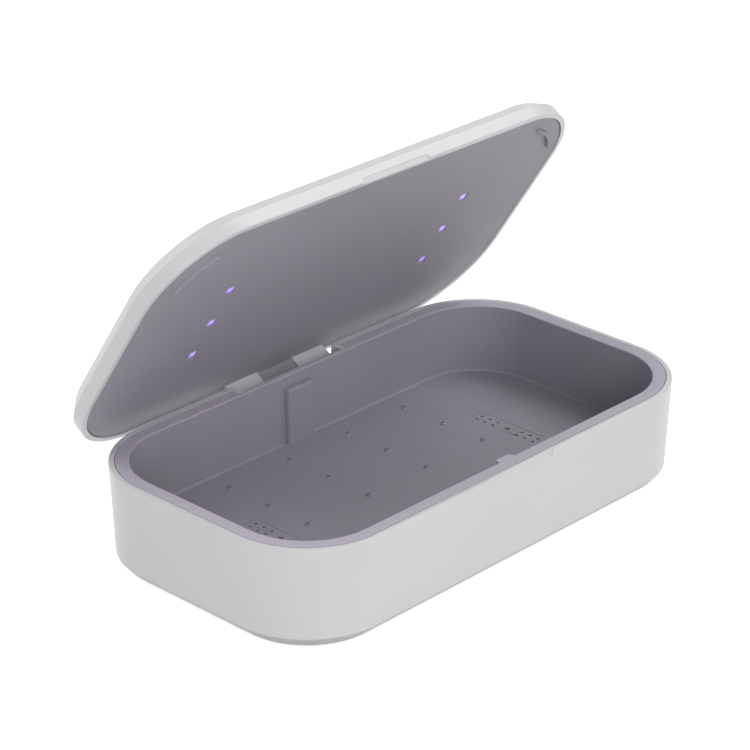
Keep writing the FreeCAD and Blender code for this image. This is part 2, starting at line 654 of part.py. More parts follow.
def make_duct(tray):
    """A hollow rise on the back wall, open behind and below."""
    wall_at_floor = "(derived.half_depth - derived.floor_edge)"
    wall_at_mouth = "(derived.half_depth - derived.mouth)"
    front = f"({wall_at_floor} - sizes.duct_reach)"
    back = f"({wall_at_mouth} + 0.9 * sizes.tray_wall)"
    middle = f"({front} + {back}) / 2"
    sketch = new_sketch(tray, "duct_outline", "XY_Plane", up=middle, out="derived.tray_underside")
    rounded_rectangle(sketch, "sizes.duct_width", f"{back} - {front}", "sizes.duct_round")
    height = "sizes.tray_wall + sizes.tray_depth - sizes.duct_drop"
    extrude(tray, "Pad", sketch, height)
    top = value("derived.rim_level - sizes.duct_drop")
    inside = value(wall_at_floor)

    def top_edge(edge):
        return all(abs(vertex.Z - top) < LEVEL_TOLERANCE and vertex.Y < inside for vertex in edge.Vertexes)

    round_edges(tray, "duct_top_round", "0.9 * sizes.duct_round", top_edge)
    block(
        tray,
        "Subtractive",
        "duct_hollow",
        x=span("0", "sizes.duct_width - 2 * sizes.tray_wall"),
        y=(f"{front} + sizes.tray_wall", "derived.half_depth - derived.tray_edge"),
        z=(
            "derived.tray_underside - sizes.tray_wall",
            "derived.rim_level - sizes.duct_drop - sizes.tray_wall",
        ),
    )


def make_sensor_bump(tray):
    """A low upright bump in the middle of the front wall, behind which the lid sensor sits."""
    wall_at_mouth = "(derived.mouth - derived.half_depth)"
    corner = "0.9 * sizes.tray_wall"
    front = f"({wall_at_mouth} - {corner})"
    back = f"({wall_at_mouth} + sizes.sensor_bump_reach)"
    sketch = new_sketch(
        tray, "sensor_bump_outline", "XY_Plane", up=f"({front} + {back}) / 2", out="derived.tray_underside"
    )
    rounded_rectangle(sketch, "sizes.sensor_bump_width", f"{back} - {front}", corner)
    extrude(tray, "Pad", sketch, "sizes.tray_wall + sizes.tray_depth")


def scent_outline(body, name, x, level, shrink):
    sketch = new_sketch(body, name, "XY_Plane", along=x, out=level)
    rounded_rectangle(
        sketch,
        f"sizes.grille_width - 2 * ({shrink})",
        f"sizes.grille_length - 2 * ({shrink})",
        f"sizes.grille_corner - ({shrink})",
    )
    return sketch


def make_scent_well(tray, side, x):
    """A stepped well in the floor: a recess for the grille, and a deeper one for its pad."""
    cup_top = "derived.tray_underside + sizes.tray_wall / 2"
    cup = scent_outline(tray, f"cup_{side}", x, cup_top, "-sizes.well_wall")
    extrude(tray, "Pad", cup, f"{cup_top} - derived.well_floor + sizes.well_wall", flip=True)
    recess = scent_outline(tray, f"recess_{side}", x, "derived.floor_level", "0")
    extrude(tray, "Pocket", recess, "sizes.grille_recess + sizes.grille_thickness")
    well = scent_outline(tray, f"well_{side}", x, "derived.floor_level", "sizes.grille_ledge")
    extrude(tray, "Pocket", well, "derived.floor_level - derived.well_floor")


def make_dots(tray):
    """Rows of low cones that hold a phone off the floor."""
    first_row = []
    for column in range(DOT_COLUMNS):
        dot = tray.newObject("PartDesign::AdditiveCone", f"dot_{column}")
        bind(dot, Radius1="sizes.dot_radius", Radius2="sizes.dot_top_radius", Height="sizes.dot_height")
        place(
            dot,
            f"({column - (DOT_COLUMNS - 1) / 2}) * sizes.dot_pitch_along",
            f"-{(DOT_ROWS - 1) / 2} * sizes.dot_pitch_across",
            "derived.floor_level",
        )
        first_row.append(dot)
    document.recompute()
    pattern = tray.newObject("PartDesign::LinearPattern", "dots")
    pattern.Originals = first_row
    pattern.Direction = next((axis, [""]) for axis in tray.Origin.OriginFeatures if axis.Role == "Y_Axis")
    pattern.Mode = "Spacing"
    pattern.Occurrences = DOT_ROWS
    bind(pattern, Offset="sizes.dot_pitch_across")
    tray.Tip = pattern


def make_hinge_notches(tray):
    """Room in the flange for the hinge pocket and its two legs."""
    beyond = "derived.half_depth"
    levels = ("derived.rim_level - 2 * sizes.flange_thickness", "derived.rim_level + sizes.flange_thickness")
    block(
        tray,
        "Subtractive",
        "pocket_notch",
        x=("-sizes.pocket_half", "sizes.pocket_half"),
        y=("derived.pocket_front", beyond),
        z=levels,
    )
    for side, sign in SIDES:
        block(
            tray,
            "Subtractive",
            "leg_notch_" + side,
            x=span(
                f"{sign}(sizes.pocket_half + sizes.pocket_wall / 2)",
                "sizes.pocket_wall + 2 * sizes.tray_gap",
            ),
            y=("derived.leg_front - sizes.tray_gap", beyond),
            z=levels,
        )


# Perforated scent grilles and the felt pads below them
def make_scent_set(side, x):
    grille = new_body("scent_grille_" + side)
    top = "derived.floor_level - sizes.grille_recess"
    extrude(grille, "Pad", scent_outline(grille, "grille_" + side, x, top, "sizes.grille_clearance"),
            "sizes.grille_thickness", flip=True)
    holes = new_sketch(grille, "holes_" + side, "XY_Plane", along=x, out=top)
    circle(holes, "0", "0", "sizes.drip_hole")
    for column in ("-", ""):
        for row in range(GRILLE_ROWS):
            for end in ("-", ""):
                y = f"{end}(sizes.grille_first_row + {row} * sizes.grille_hole_pitch)"
                circle(holes, f"{column}sizes.grille_hole_gap / 2", y, "sizes.grille_hole")
    extrude(grille, "Pocket", holes, "2 * sizes.grille_thickness")
    pad = new_body("scent_pad_" + side)
    shrink = "sizes.grille_ledge + sizes.pad_clearance"
    pad_outline = scent_outline(pad, "pad_" + side, x, "derived.well_floor", shrink)
    extrude(pad, "Pad", pad_outline, "sizes.pad_thickness")


# Bottom cover with its slanted edge, lip, board posts and foot recesses
def make_bottom_cover():
    cover = new_body("bottom_cover")
    foot_inset = "sizes.wall_taper + sizes.plinth_inset"
    low = outline(cover, "cover_foot", "sizes.foot_proud", foot_inset, "sizes.plinth_corner")
    high = outline(cover, "cover_rim", "derived.wall_foot", "sizes.wall_taper")
    loft(cover, "Additive", low, high)
    lip = outline(cover, "lip_outline", "derived.wall_foot", "derived.lip_edge")
    extrude(cover, "Pad", lip, "sizes.lip_height")
    lip_top = "derived.wall_foot + sizes.lip_height"
    inside = outline(cover, "lip_inside", lip_top, "derived.lip_edge + sizes.lip_wall")
    extrude(cover, "Pocket", inside, f"{lip_top} - derived.cover_floor")
    stand = ("derived.cover_floor - sizes.cover_thickness / 2", "derived.wall_foot")
    recess_top = "sizes.foot_proud + sizes.foot_recess"
    head_top = f"{recess_top} + sizes.screw_head_height"
    hole_top = "derived.wall_foot + sizes.boss_wall"
    for name, x, y in foot_places():
        boss_radius = "sizes.screw_head_radius + sizes.boss_wall"
        post(cover, "Additive", "cover_boss_" + name, x, y, stand, boss_radius)
        for cut, top, radius in (
            ("foot_recess_", recess_top, "sizes.foot_radius + sizes.foot_clearance"),
            ("head_", head_top, "sizes.screw_head_radius + sizes.screw_clearance"),
            ("screw_hole_", hole_top, "sizes.screw_radius + sizes.screw_clearance"),
        ):
            post(cover, "Subtractive", cut + name, x, y, ("0", top), radius)
    for side, x, y in board_screw_places():
        post_radius = "sizes.board_screw_radius + sizes.boss_wall"
        post(cover, "Additive", "board_post_" + side, x, y, stand, post_radius)
        hole = ("derived.wall_foot - sizes.board_screw_length", "derived.wall_foot + sizes.boss_wall")
        radius = "sizes.board_screw_radius + sizes.screw_clearance"
        post(cover, "Subtractive", "board_post_hole_" + side, x, y, hole, radius)
    socket_gap = "sizes.socket_width + 4 * sizes.socket_clearance"
    block(
        cover,
        "Subtractive",
        "lip_gap_for_socket",
        x=span("sizes.socket_offset", socket_gap),
        y=("derived.board_back", "derived.half_depth"),
        z=("derived.wall_foot", "derived.wall_foot + 2 * sizes.lip_height"),
    )


def make_feet_and_screws():
    top = "sizes.foot_proud + sizes.foot_recess"
    screws = []
    for name, x, y in foot_places():
        turned(
            "foot_" + name,
            x,
            y,
            (
                ("0", "0"),
                ("sizes.foot_radius - sizes.foot_proud / 2", "0"),
                ("sizes.foot_radius", "sizes.foot_proud / 2"),
                ("sizes.foot_radius", top),
                ("0", top),
            ),
        )
        seat = f"({top} + sizes.screw_head_height)"
        screws.append(screw("cover_screw_" + name, x, y, seat, "sizes.screw_radius", "sizes.screw_length",
                            "sizes.screw_head_radius", "sizes.screw_head_height", points_up=True))
    group("cover_screws", screws)


# Main board, its screws, chips and charging socket
def make_electronics():
    board = new_body("main_board")
    width = ("derived.board_back - sizes.board_width", "derived.board_back")
    block(board, "Additive", "board_sheet", x=span("sizes.board_offset", "sizes.board_length"), y=width,
          z=("derived.wall_foot", "derived.board_top"))
    screws = []
    for side, x, y in board_screw_places():
        hole = ("derived.wall_foot - sizes.board_thickness", "derived.board_top + sizes.board_thickness")
        radius = "sizes.board_screw_radius + sizes.screw_clearance"
        post(board, "Subtractive", "board_hole_" + side, x, y, hole, radius)
        screws.append(screw("board_screw_" + side, x, y, "derived.board_top", "sizes.board_screw_radius",
                            "sizes.board_screw_length + sizes.board_thickness - sizes.screw_clearance",
                            "sizes.board_head_radius", "sizes.board_head_height", points_up=False))
    group("board_screws", screws)
    middle = "derived.board_back - sizes.board_width / 2"
    chip_size = "6 * sizes.chip_height"
    coil_size = "2.4 * sizes.coil_height"
    coil_x = "sizes.board_offset + 2 * sizes.coil_height + 6 * sizes.chip_height"
    plug_y = "derived.board_back - sizes.board_width + sizes.lead_width / 2"
    group("board_chips", [
        slab("controller", span("sizes.board_offset", chip_size), span(middle, chip_size),
             ("derived.board_top", "derived.board_top + sizes.chip_height")),
        slab("power_coil", span(coil_x, coil_size), span(middle, coil_size),
             ("derived.board_top", "derived.board_top + sizes.coil_height")),
        slab("lead_plug", span("0", "sizes.lead_width"), span(plug_y, "sizes.lead_width"),
             ("derived.board_top", "derived.board_top + 2 * sizes.lead_thickness")),
    ])
    make_socket()


def make_socket():
    """A metal sleeve with a flat contact tongue, lying on the main board's back edge."""
    socket = new_body("charging_socket")
    face = "(derived.half_depth - sizes.wall_taper - sizes.socket_setback)"
    sketch = new_sketch(
        socket,
        "sleeve",
        "XZ_Plane",
        along="sizes.socket_offset",
        up="derived.board_top + sizes.socket_height / 2",
        out=f"-{face}",
    )
    rounded_rectangle(sketch, "sizes.socket_width", "sizes.socket_height", "0.45 * sizes.socket_height")
    extrude(socket, "Pad", sketch, "sizes.socket_length")
    bore = new_sketch(
        socket,
        "bore",
        "XZ_Plane",
        along="sizes.socket_offset",
        up="derived.board_top + sizes.socket_height / 2",
        out=f"-{face}",
    )
    clear = "(sizes.socket_height - 2 * sizes.socket_sheet)"
    rounded_rectangle(bore, "sizes.socket_width - 2 * sizes.socket_sheet", clear, f"0.45 * {clear}")
    extrude(socket, "Pocket", bore, "0.8 * sizes.socket_length", flip=True)
    block(
        socket,
        "Additive",
        "contact_tongue",
        x=span("sizes.socket_offset", "0.7 * sizes.socket_width"),
        y=(f"{face} - 0.9 * sizes.socket_length", f"{face} - 0.15 * sizes.socket_length"),
        z=span("derived.board_top + sizes.socket_height / 2", "2 * sizes.socket_sheet"),
    )


# Flat leads, and the sensor that tells whether the lid is shut
def flat_lead(name, corners):
    """A flat strip as wide as the leads are, bent along a side view."""
    body = new_body(name)
    sketch = new_sketch(body, name + "_side", "YZ_Plane")
    polygon(sketch, corners)
    extrude(body, "Pad", sketch, "sizes.lead_width", both=True)
    return body


def make_base_leads():
    front = "derived.base_lead_front"
    back = "derived.base_lead_back"
    low = "(derived.board_top + 2 * sizes.lead_thickness)"
    high = f"({low} + sizes.lead_thickness)"
    start = "(derived.board_back - sizes.board_width)"
    end = "(derived.pocket_floor + sizes.lead_clearance)"
    flat_lead("base_lead", (
        (start, low), (back, low), (back, end),
        (front, end), (front, high), (start, high),
    ))
    wall = "(derived.mouth - sizes.tray_wall - derived.half_depth)"
    outer = f"({wall} - sizes.sensor_thickness - sizes.lead_clearance)"
    inner = f"({wall} - sizes.lead_clearance)"
    top = "(derived.rim_level - sizes.flange_thickness - sizes.lead_clearance)"
    foot = f"({top} - sizes.sensor_height)"
    keep(slab("lid_sensor", span("0", "sizes.sensor_width"), (outer, inner), (foot, top)))
    lead_out = f"({inner} - sizes.lead_thickness)"
    under = "(derived.tray_underside - sizes.lead_clearance)"
    below = f"({under} - sizes.lead_thickness)"
    plug = f"({start} - sizes.lead_clearance)"
    flat_lead("sensor_lead", (
        (lead_out, foot), (lead_out, below), (plug, below),
        (plug, under), (inner, under), (inner, foot),
    ))


# Hinge pins, fixed in the legs of the pocket
def make_hinge_pins():
    for side, sign in SIDES:
        pin = new_body("hinge_pin_" + side)
        outer_end = f"{sign}(sizes.pocket_half + sizes.pocket_wall)"
        sketch = new_sketch(pin, "pin_end_" + side, "YZ_Plane", out=outer_end)
        circle(sketch, "derived.hinge_y", "derived.hinge_z", "sizes.pin_radius")
        reach = "sizes.pocket_half + sizes.pocket_wall - sizes.arm_inner"
        extrude(pin, "Pad", sketch, reach, flip=(sign == ""))


# White shell of the lid, moulded with the two hinge arms
def make_lid_shell():
    lid = on_lid(new_body("lid_shell"))
    edge = outline(lid, "lid_edge", "derived.lid_underside", "0")
    extrude(lid, "Pad", edge, "sizes.lid_wall_height")
    round_edges(lid, "lid_edge_round", "sizes.edge_round", at_level("derived.lid_underside"))
    fold = outline(lid, "lid_fold_outline", "derived.lid_fold", "0")
    top = outline(lid, "lid_top_outline", "derived.lid_top", "sizes.lid_chamfer")
    loft(lid, "Additive", fold, top)
    round_edges(lid, "lid_top_round", "2 * sizes.edge_round", at_level("derived.lid_top"))
    recess = outline(lid, "panel_recess_outline", "derived.lid_underside", "sizes.lid_land")
    extrude(lid, "Pocket", recess, "derived.panel_back - derived.lid_underside", flip=True)
    hollow = outline(lid, "hollow_foot", "derived.lid_underside", "derived.lid_wall")
    extrude(lid, "Pocket", hollow, "sizes.lid_wall_height", flip=True)
    hollow_fold = outline(lid, "hollow_fold", "derived.lid_fold", "derived.lid_wall")
    ceiling = outline(lid, "ceiling_outline", "derived.lid_ceiling", "derived.lid_wall + derived.lid_lean")
    loft(lid, "Subtractive", hollow_fold, ceiling)
    finger_recess(lid, "derived.lid_underside", Vector(1, 0, 0))
    for side, sign in SIDES:
        make_hinge_arm(lid, side, sign)
    block(
        lid,
        "Subtractive",
        "lead_notch",
        x=span("0", "sizes.lead_width + 2 * sizes.lead_clearance"),
        y=("derived.lid_lead_front - sizes.lead_clearance", "derived.half_depth - sizes.lid_land"),
        z=("derived.panel_face", "derived.panel_back + 4 * sizes.lead_thickness"),
    )
    hole = ("derived.lid_ceiling - sizes.lid_top_wall", "derived.lid_top + sizes.lid_top_wall")
    button_bore = "sizes.button_radius + sizes.button_clearance"
    lens_bore = "sizes.lens_radius + sizes.lens_clearance"
    post(lid, "Subtractive", "button_hole", "0", "derived.button_y", hole, button_bore)
    post(lid, "Subtractive", "lens_hole", "0", "derived.lens_y", hole, lens_bore)


def make_hinge_arm(lid, side, sign):
    """A round-ended arm that hangs from the lid's back wall and turns on its pin."""
    sketch = new_sketch(
        lid,
        "arm_" + side,
        "YZ_Plane",
        along="derived.hinge_y",
        up="derived.hinge_z",
        out=f"{sign}sizes.arm_inner",
    )
    round_ended(sketch, "sizes.arm_half", "derived.panel_back + sizes.arm_half - derived.hinge_z")
    extrude(lid, "Pad", sketch, "derived.arm_outer - sizes.arm_inner", flip=(sign == "-"))
    bore = new_sketch(lid, "arm_bore_" + side, "YZ_Plane", out=f"{sign}sizes.arm_inner")
    circle(bore, "derived.hinge_y", "derived.hinge_z", "sizes.pin_radius + sizes.pin_clearance")
    extrude(lid, "Pocket", bore, "2 * (derived.arm_outer - sizes.arm_inner)", both=True)


# Grey panel under the lid: windows, corner ribs, board seats, and the tongue between the arms
def make_lid_panel():
    panel = on_lid(new_body("lid_panel"))
    sheet = outline(panel, "panel_outline", "derived.panel_face", "sizes.lid_land + sizes.panel_gap")
    extrude(panel, "Pad", sheet, "sizes.panel_thickness")
    for side, sign in SIDES:
        make_lamp_seat(panel, side, f"{sign}sizes.lamp_offset")
        make_corner_rib(panel, side, sign)
    round_corner_ribs(panel)
    for side, sign in SIDES:
        inner = f"{sign}(sizes.arm_inner - sizes.panel_gap)"
        outer = f"{sign}(derived.arm_outer + sizes.panel_gap)"
        block(
            panel,
            "Subtractive",
            "arm_notch_" + side,
            x=(outer, inner) if sign else (inner, outer),
            y=("derived.hinge_y - sizes.arm_half - sizes.panel_gap", "derived.half_depth"),
            z=("derived.panel_face - sizes.panel_thickness", "derived.panel_back + sizes.panel_thickness"),
        )
    for name, x, y in lid_screw_places():
        seat = ("derived.panel_back - sizes.panel_thickness / 2", "derived.lid_board")
        post(panel, "Additive", "seat_" + name, x, y, seat, "sizes.board_screw_radius + sizes.boss_wall")
        hole = ("derived.lid_board_top - derived.lid_screw_length", "derived.lid_board + sizes.seat_height")
        radius = "sizes.board_screw_radius + sizes.screw_clearance"
        post(panel, "Subtractive", "seat_hole_" + name, x, y, hole, radius)
    make_tongue(panel)


def make_lamp_seat(panel, side, x):
    """Two rails for a lamp board, and a row of windows."""
    for end, sign in (("near", "-"), ("far", "+")):
        block(
            panel,
            "Additive",
            f"lamp_rail_{side}_{end}",
            x=span(f"{x} {sign} (sizes.lamp_board_width - sizes.boss_wall) / 2", "sizes.boss_wall"),
            y=span("0", "derived.lamp_board_length"),
            z=("derived.panel_back - sizes.panel_thickness / 2", "derived.lid_board"),
        )
    for number, shift in enumerate(("-sizes.lamp_pitch", "0", "sizes.lamp_pitch")):
        block(
            panel,
            "Subtractive",
            f"window_{side}_{number}",
            x=span(x, "derived.window"),
            y=span(shift, "derived.window"),
            z=("derived.panel_face - sizes.panel_thickness", "derived.panel_back + sizes.panel_thickness"),
        )


def make_corner_rib(panel, side, sign):
    """An upright arc that finds the tray's mouth when the lid shuts."""
    centre_x = f"{sign}(derived.half_length - sizes.corner_radius)"
    centre_y = "sizes.corner_radius - derived.half_depth"
    start = "-45 - sizes.rib_sweep / 2" if sign == "" else "225 - sizes.rib_sweep / 2"
    levels = ("derived.panel_face - sizes.rib_height", "derived.panel_face + sizes.panel_thickness / 2")
    arc = post(panel, "Additive", "rib_" + side, centre_x, centre_y, levels, "derived.rib_radius")
    arc.Placement = FreeCAD.Placement(Vector(), FreeCAD.Rotation(Vector(0, 0, 1), value(start)))
    arc.setExpression("Placement.Rotation.Angle", f"mod({start} + 360; 360)")
    bind(arc, Angle="sizes.rib_sweep")
    below = ("derived.panel_face - 2 * sizes.rib_height", "derived.panel_face")
    inner_radius = "derived.rib_radius - sizes.rib_wall"
    post(panel, "Subtractive", "rib_inside_" + side, centre_x, centre_y, below, inner_radius)


def round_corner_ribs(panel):
    """Round ends, then a round crest."""
    crest = value("derived.panel_face - sizes.rib_height")
    root = value("derived.panel_face")

    def end_edge(edge):
        levels = sorted(vertex.Z for vertex in edge.Vertexes)
        return abs(levels[0] - crest) < LEVEL_TOLERANCE and abs(levels[-1] - root) < LEVEL_TOLERANCE

    round_edges(panel, "rib_ends", "sizes.rib_round", end_edge)
    at_crest = at_level("derived.panel_face - sizes.rib_height")
    round_edges(panel, "rib_crests", "0.9 * sizes.rib_round", at_crest)


def make_tongue(panel):
    """A round-ended tongue between the arms, with a duct for the lead."""
    half_width = "(sizes.arm_inner - sizes.tongue_clearance)"
    sketch = new_sketch(
        panel, "tongue_side", "YZ_Plane", along="derived.hinge_y", up="derived.hinge_z", out=f"-{half_width}"
    )
    tongue_height = "derived.lid_underside - sizes.tongue_clearance - derived.hinge_z"
    round_ended(sketch, "derived.tongue_half", tongue_height)
    block(
        panel,
        "Additive",
        "tongue_root",
        x=(f"-{half_width}", half_width),
        y=("derived.hinge_y - derived.tongue_half", "derived.half_depth - sizes.lid_land - sizes.panel_gap"),
        z=("derived.lid_underside - sizes.arm_half", "derived.panel_back"),
    )
    extrude(panel, "Pad", sketch, f"2 * {half_width}")
    block(
        panel,
        "Subtractive",
        "lead_duct",
        x=span("0", "sizes.lead_width + 2 * sizes.lead_clearance"),
        y=("derived.lid_lead_front - sizes.lead_clearance", "derived.hinge_y"),
        z=("derived.hinge_z - 2 * sizes.arm_half", "derived.panel_back + sizes.panel_thickness"),
    )


# Lamp boards, lamps and the rest of what the lid holds
def lid_board(name, x, y, screw_names):
    """A board in the lid, with holes for those lid screws whose names begin alike."""
    board = on_lid(new_body(name))
    block(board, "Additive", name + "_sheet", x=x, y=y, z=("derived.lid_board", "derived.lid_board_top"))
    for place_name, screw_x, screw_y in lid_screw_places():
        if place_name.startswith(screw_names):
            hole = ("derived.panel_back", "derived.lid_board_top + sizes.lid_board_thickness")
            radius = "sizes.board_screw_radius + sizes.screw_clearance"
            post(board, "Subtractive", "hole_" + place_name, screw_x, screw_y, hole, radius)


def make_lid_screws():
    for screw_names in ("lamp", "button"):
        screws = [
            screw("lid_screw_" + name, x, y, "derived.lid_board_top", "sizes.board_screw_radius",
                  "derived.lid_screw_length", "sizes.board_head_radius", "sizes.board_head_height",
                  points_up=False)
            for name, x, y in lid_screw_places()
            if name.startswith(screw_names)
        ]
        on_lid(group(screw_names + "_board_screws", screws))


def make_lamp_set(side, x):
    board_y = span("0", "derived.lamp_board_length")
    lid_board("lamp_board_" + side, span(x, "sizes.lamp_board_width"), board_y, "lamp_" + side)
    lamps = []
    for number, shift in enumerate(("-sizes.lamp_pitch", "0", "sizes.lamp_pitch")):
        levels = ("derived.lid_board - sizes.lamp_height", "derived.lid_board")
        lamp_x = span(x, "sizes.lamp_size")
        lamps.append(slab(f"lamp_{side}_{number}", lamp_x, span(shift, "sizes.lamp_size"), levels))
    on_lid(group("uv_lamps_" + side, lamps))


def make_lid_lead():
    """A flat lead out of the tongue and along the panel, with a branch to each lamp board."""
    front = "derived.lid_lead_front"
    back = "(derived.lid_lead_front + sizes.lead_thickness)"
    low = "(derived.panel_back + sizes.lead_clearance)"
    high = f"({low} + sizes.lead_thickness)"
    end = "(derived.button_board_back + sizes.lead_clearance)"
    start = "(derived.hinge_z - derived.tongue_half + sizes.lead_clearance)"
    lead = flat_lead("lid_lead", (
        (back, start), (back, high), (end, high),
        (end, low), (front, low), (front, start),
    ))
    reach = "(sizes.lamp_offset - sizes.lamp_board_width / 2 - sizes.lead_clearance)"
    across = span("0", "sizes.lead_width")
    block(lead, "Additive", "branches", x=(f"-{reach}", reach), y=across, z=(low, high))
    on_lid(lead)


def make_button():
    edges = ("derived.button_board_front", "derived.button_board_back")
    lid_board("button_board", span("0", "sizes.button_board_length"), edges, "button")
    switch = on_lid(new_body("push_switch"))
    block(switch, "Additive", "switch_case", x=span("0", "sizes.switch_size"),
          y=span("derived.button_y", "sizes.switch_size"), z=("derived.lid_board_top", "derived.switch_top"))
    plunger_foot = "derived.switch_top - sizes.plunger_sunk"
    bore = (f"{plunger_foot} - sizes.plunger_stroke", "derived.switch_top + sizes.switch_height")
    post(switch, "Subtractive", "plunger_bore", "0", "derived.button_y", bore,
         "sizes.plunger_radius + sizes.plunger_clearance")
    on_lid(turned("switch_plunger", "0", "derived.button_y", (
        ("0", plunger_foot),
        ("sizes.plunger_radius", plunger_foot),
        ("sizes.plunger_radius", "derived.plunger_top"),
        ("0", "derived.plunger_top"),
    )))
    flange_foot = "(derived.flange_top - sizes.button_flange_height)"
    top = "(derived.lid_top + sizes.button_proud)"
    on_lid(turned("power_button", "0", "derived.button_y", (
        ("0", "derived.plunger_top"),
        ("sizes.button_stem_radius", "derived.plunger_top"),
        ("sizes.button_stem_radius", flange_foot),
        ("sizes.button_radius + sizes.button_flange", flange_foot),
        ("sizes.button_radius + sizes.button_flange", "derived.flange_top"),
        ("sizes.button_radius", "derived.flange_top"),
        ("sizes.button_radius", f"{top} - sizes.edge_round"),
        ("sizes.button_radius - sizes.edge_round", top),
        ("0", f"{top} - sizes.edge_round / 2"),
    )))
    lens_foot = "derived.lid_ceiling - sizes.lens_depth"
    on_lid(turned("indicator_lens", "0", "derived.lens_y", (
        ("0", lens_foot),
        ("sizes.lens_radius", lens_foot),
        ("sizes.lens_radius", "derived.lid_top"),
        ("0", "derived.lid_top"),
    )))
    levels = ("derived.lid_board_top", "derived.lid_board_top + sizes.indicator_height")
    along = span("0", "sizes.indicator_size")
    across = span("derived.lens_y", "sizes.indicator_size")
    on_lid(group("indicator_lamp", [slab("indicator", along, across, levels)]))


def make_magnet():
    magnet_top = "derived.panel_back + sizes.magnet_height"
    on_lid(turned("lid_magnet", "0", "derived.magnet_y", (
        ("0", "derived.panel_back"),
        ("sizes.magnet_radius", "derived.panel_back"),
        ("sizes.magnet_radius", magnet_top),
        ("0", magnet_top),
    )))


# The whole box
make_base_shell()
make_inner_tray()
make_bottom_cover()
make_feet_and_screws()
make_electronics()
make_base_leads()
make_hinge_pins()
make_lid_shell()
make_lid_panel()
for side, sign in SIDES:
    make_scent_set(side, f"{sign}sizes.grille_offset")
    make_lamp_set(side, f"{sign}sizes.lamp_offset")
make_lid_lead()
make_lid_screws()
make_button()
make_magnet()
document.recompute()

# Nothing is written unless every object is sound
for item in document.Objects:
    if "Invalid" in item.State or "Error" in item.State:
        raise RuntimeError(f"{item.Name} failed: {item.State}")
for piece in pieces:
    if piece.Shape.isNull() or not piece.Shape.isValid():
        raise RuntimeError(f"{piece.Label} has no valid shape")

os.makedirs("parts", exist_ok=True)
for piece in pieces:
    piece.Shape.exportStep(f"parts/{piece.Label}.step")
    box = piece.Shape.BoundBox
    limits = [round(limit, 1) for limit in (box.XMin, box.XMax, box.YMin, box.YMax, box.ZMin, box.ZMax)]
    print(f"{piece.Label}: {len(piece.Shape.Solids)} solid, {piece.Shape.Volume:.1f} mm3, x y z {limits}")
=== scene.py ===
# %% [markdown]
# A box that disinfects a phone with lamps in its lid. The CAD model already has every piece at its real
# size and in its real place, so it is loaded first and stays fixed: this script only gives the pieces
# their finish.

# %% Load the frame
import json
import math

import bmesh
import bpy
from mathutils import Matrix, Vector


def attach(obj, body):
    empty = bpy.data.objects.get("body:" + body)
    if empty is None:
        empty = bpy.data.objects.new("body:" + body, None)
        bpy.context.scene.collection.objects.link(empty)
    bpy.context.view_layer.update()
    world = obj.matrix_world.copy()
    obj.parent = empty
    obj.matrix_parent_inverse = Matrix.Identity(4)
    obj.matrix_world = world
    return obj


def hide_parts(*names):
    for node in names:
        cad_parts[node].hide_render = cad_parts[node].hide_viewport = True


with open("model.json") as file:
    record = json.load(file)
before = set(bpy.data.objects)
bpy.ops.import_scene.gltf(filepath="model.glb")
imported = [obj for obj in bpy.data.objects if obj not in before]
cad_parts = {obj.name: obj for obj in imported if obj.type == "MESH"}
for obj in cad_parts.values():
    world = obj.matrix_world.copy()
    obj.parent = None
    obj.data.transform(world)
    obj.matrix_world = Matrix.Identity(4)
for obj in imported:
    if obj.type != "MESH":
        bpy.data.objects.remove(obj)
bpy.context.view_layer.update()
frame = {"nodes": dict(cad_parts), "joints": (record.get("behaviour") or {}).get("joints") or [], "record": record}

MM = 0.001
scene = bpy.context.scene
nodes = frame["nodes"]
record = frame["record"]
body_of_node = {node: body for body, members in record["behaviour"]["bodies"].items() for node in members}
slot_of_node = {part["node"]: part["material_slot"] for part in record["subparts"]}

# %% [markdown]
# Lid pieces are easiest to measure as if the lid were shut, where everything is square to the axes. The
# hinge of the record says where the lid turns and how far it is from shut at rest, so one matrix carries
# a shut point to the open lid. Its inverse brings a CAD piece back to the shut lid.

# %% The open lid's matrix
hinge = next(joint for joint in frame["joints"] if joint["name"] == "lid_hinge")
hinge_point = Matrix.Translation(Vector(hinge["pos_m"]))
lid_turn = Matrix.Rotation(math.radians(-hinge["range_deg"][0]), 4, Vector(hinge["axis"]))
open_lid = hinge_point @ lid_turn @ hinge_point.inverted()
print("lid stands open by", -hinge["range_deg"][0], "degrees")

# %% [markdown]
# The photograph was taken from the left front corner, a little from above, with a long lens. Azimuth,
# elevation, distance and the point looked at were found by fitting the box's outline to the picture. The
# lens follows from the same fit: a focal length in pixels, turned into millimetres on a sensor of the
# usual width.

# %% Camera
SENSOR_MM = 36
IMAGE_PIXELS = 750
FOCAL_PIXELS = 2989.8
CAMERA_AZIMUTH = -46.29
CAMERA_ELEVATION = 25.23
CAMERA_DISTANCE = 1102.72 * MM
LOOKED_AT = Vector((-12.59, 0, 61.3)) * MM


def direction(azimuth, elevation):
    """A unit vector away from the box; degrees from the front towards the right, and upwards."""
    turn = math.radians(azimuth)
    rise = math.radians(elevation)
    return Vector((math.sin(turn) * math.cos(rise), -math.cos(turn) * math.cos(rise), math.sin(rise)))


camera_data = bpy.data.cameras.new("photo_camera")
camera_data.sensor_width = SENSOR_MM
camera_data.lens = SENSOR_MM * FOCAL_PIXELS / IMAGE_PIXELS
camera = bpy.data.objects.new("photo_camera", camera_data)
scene.collection.objects.link(camera)
backwards = direction(CAMERA_AZIMUTH, CAMERA_ELEVATION)
camera.location = LOOKED_AT + backwards * CAMERA_DISTANCE
camera.rotation_mode = "QUATERNION"
camera.rotation_quaternion = (-backwards).to_track_quat("-Z", "Y")
scene.camera = camera
print("lens:", round(camera_data.lens, 1), "mm")

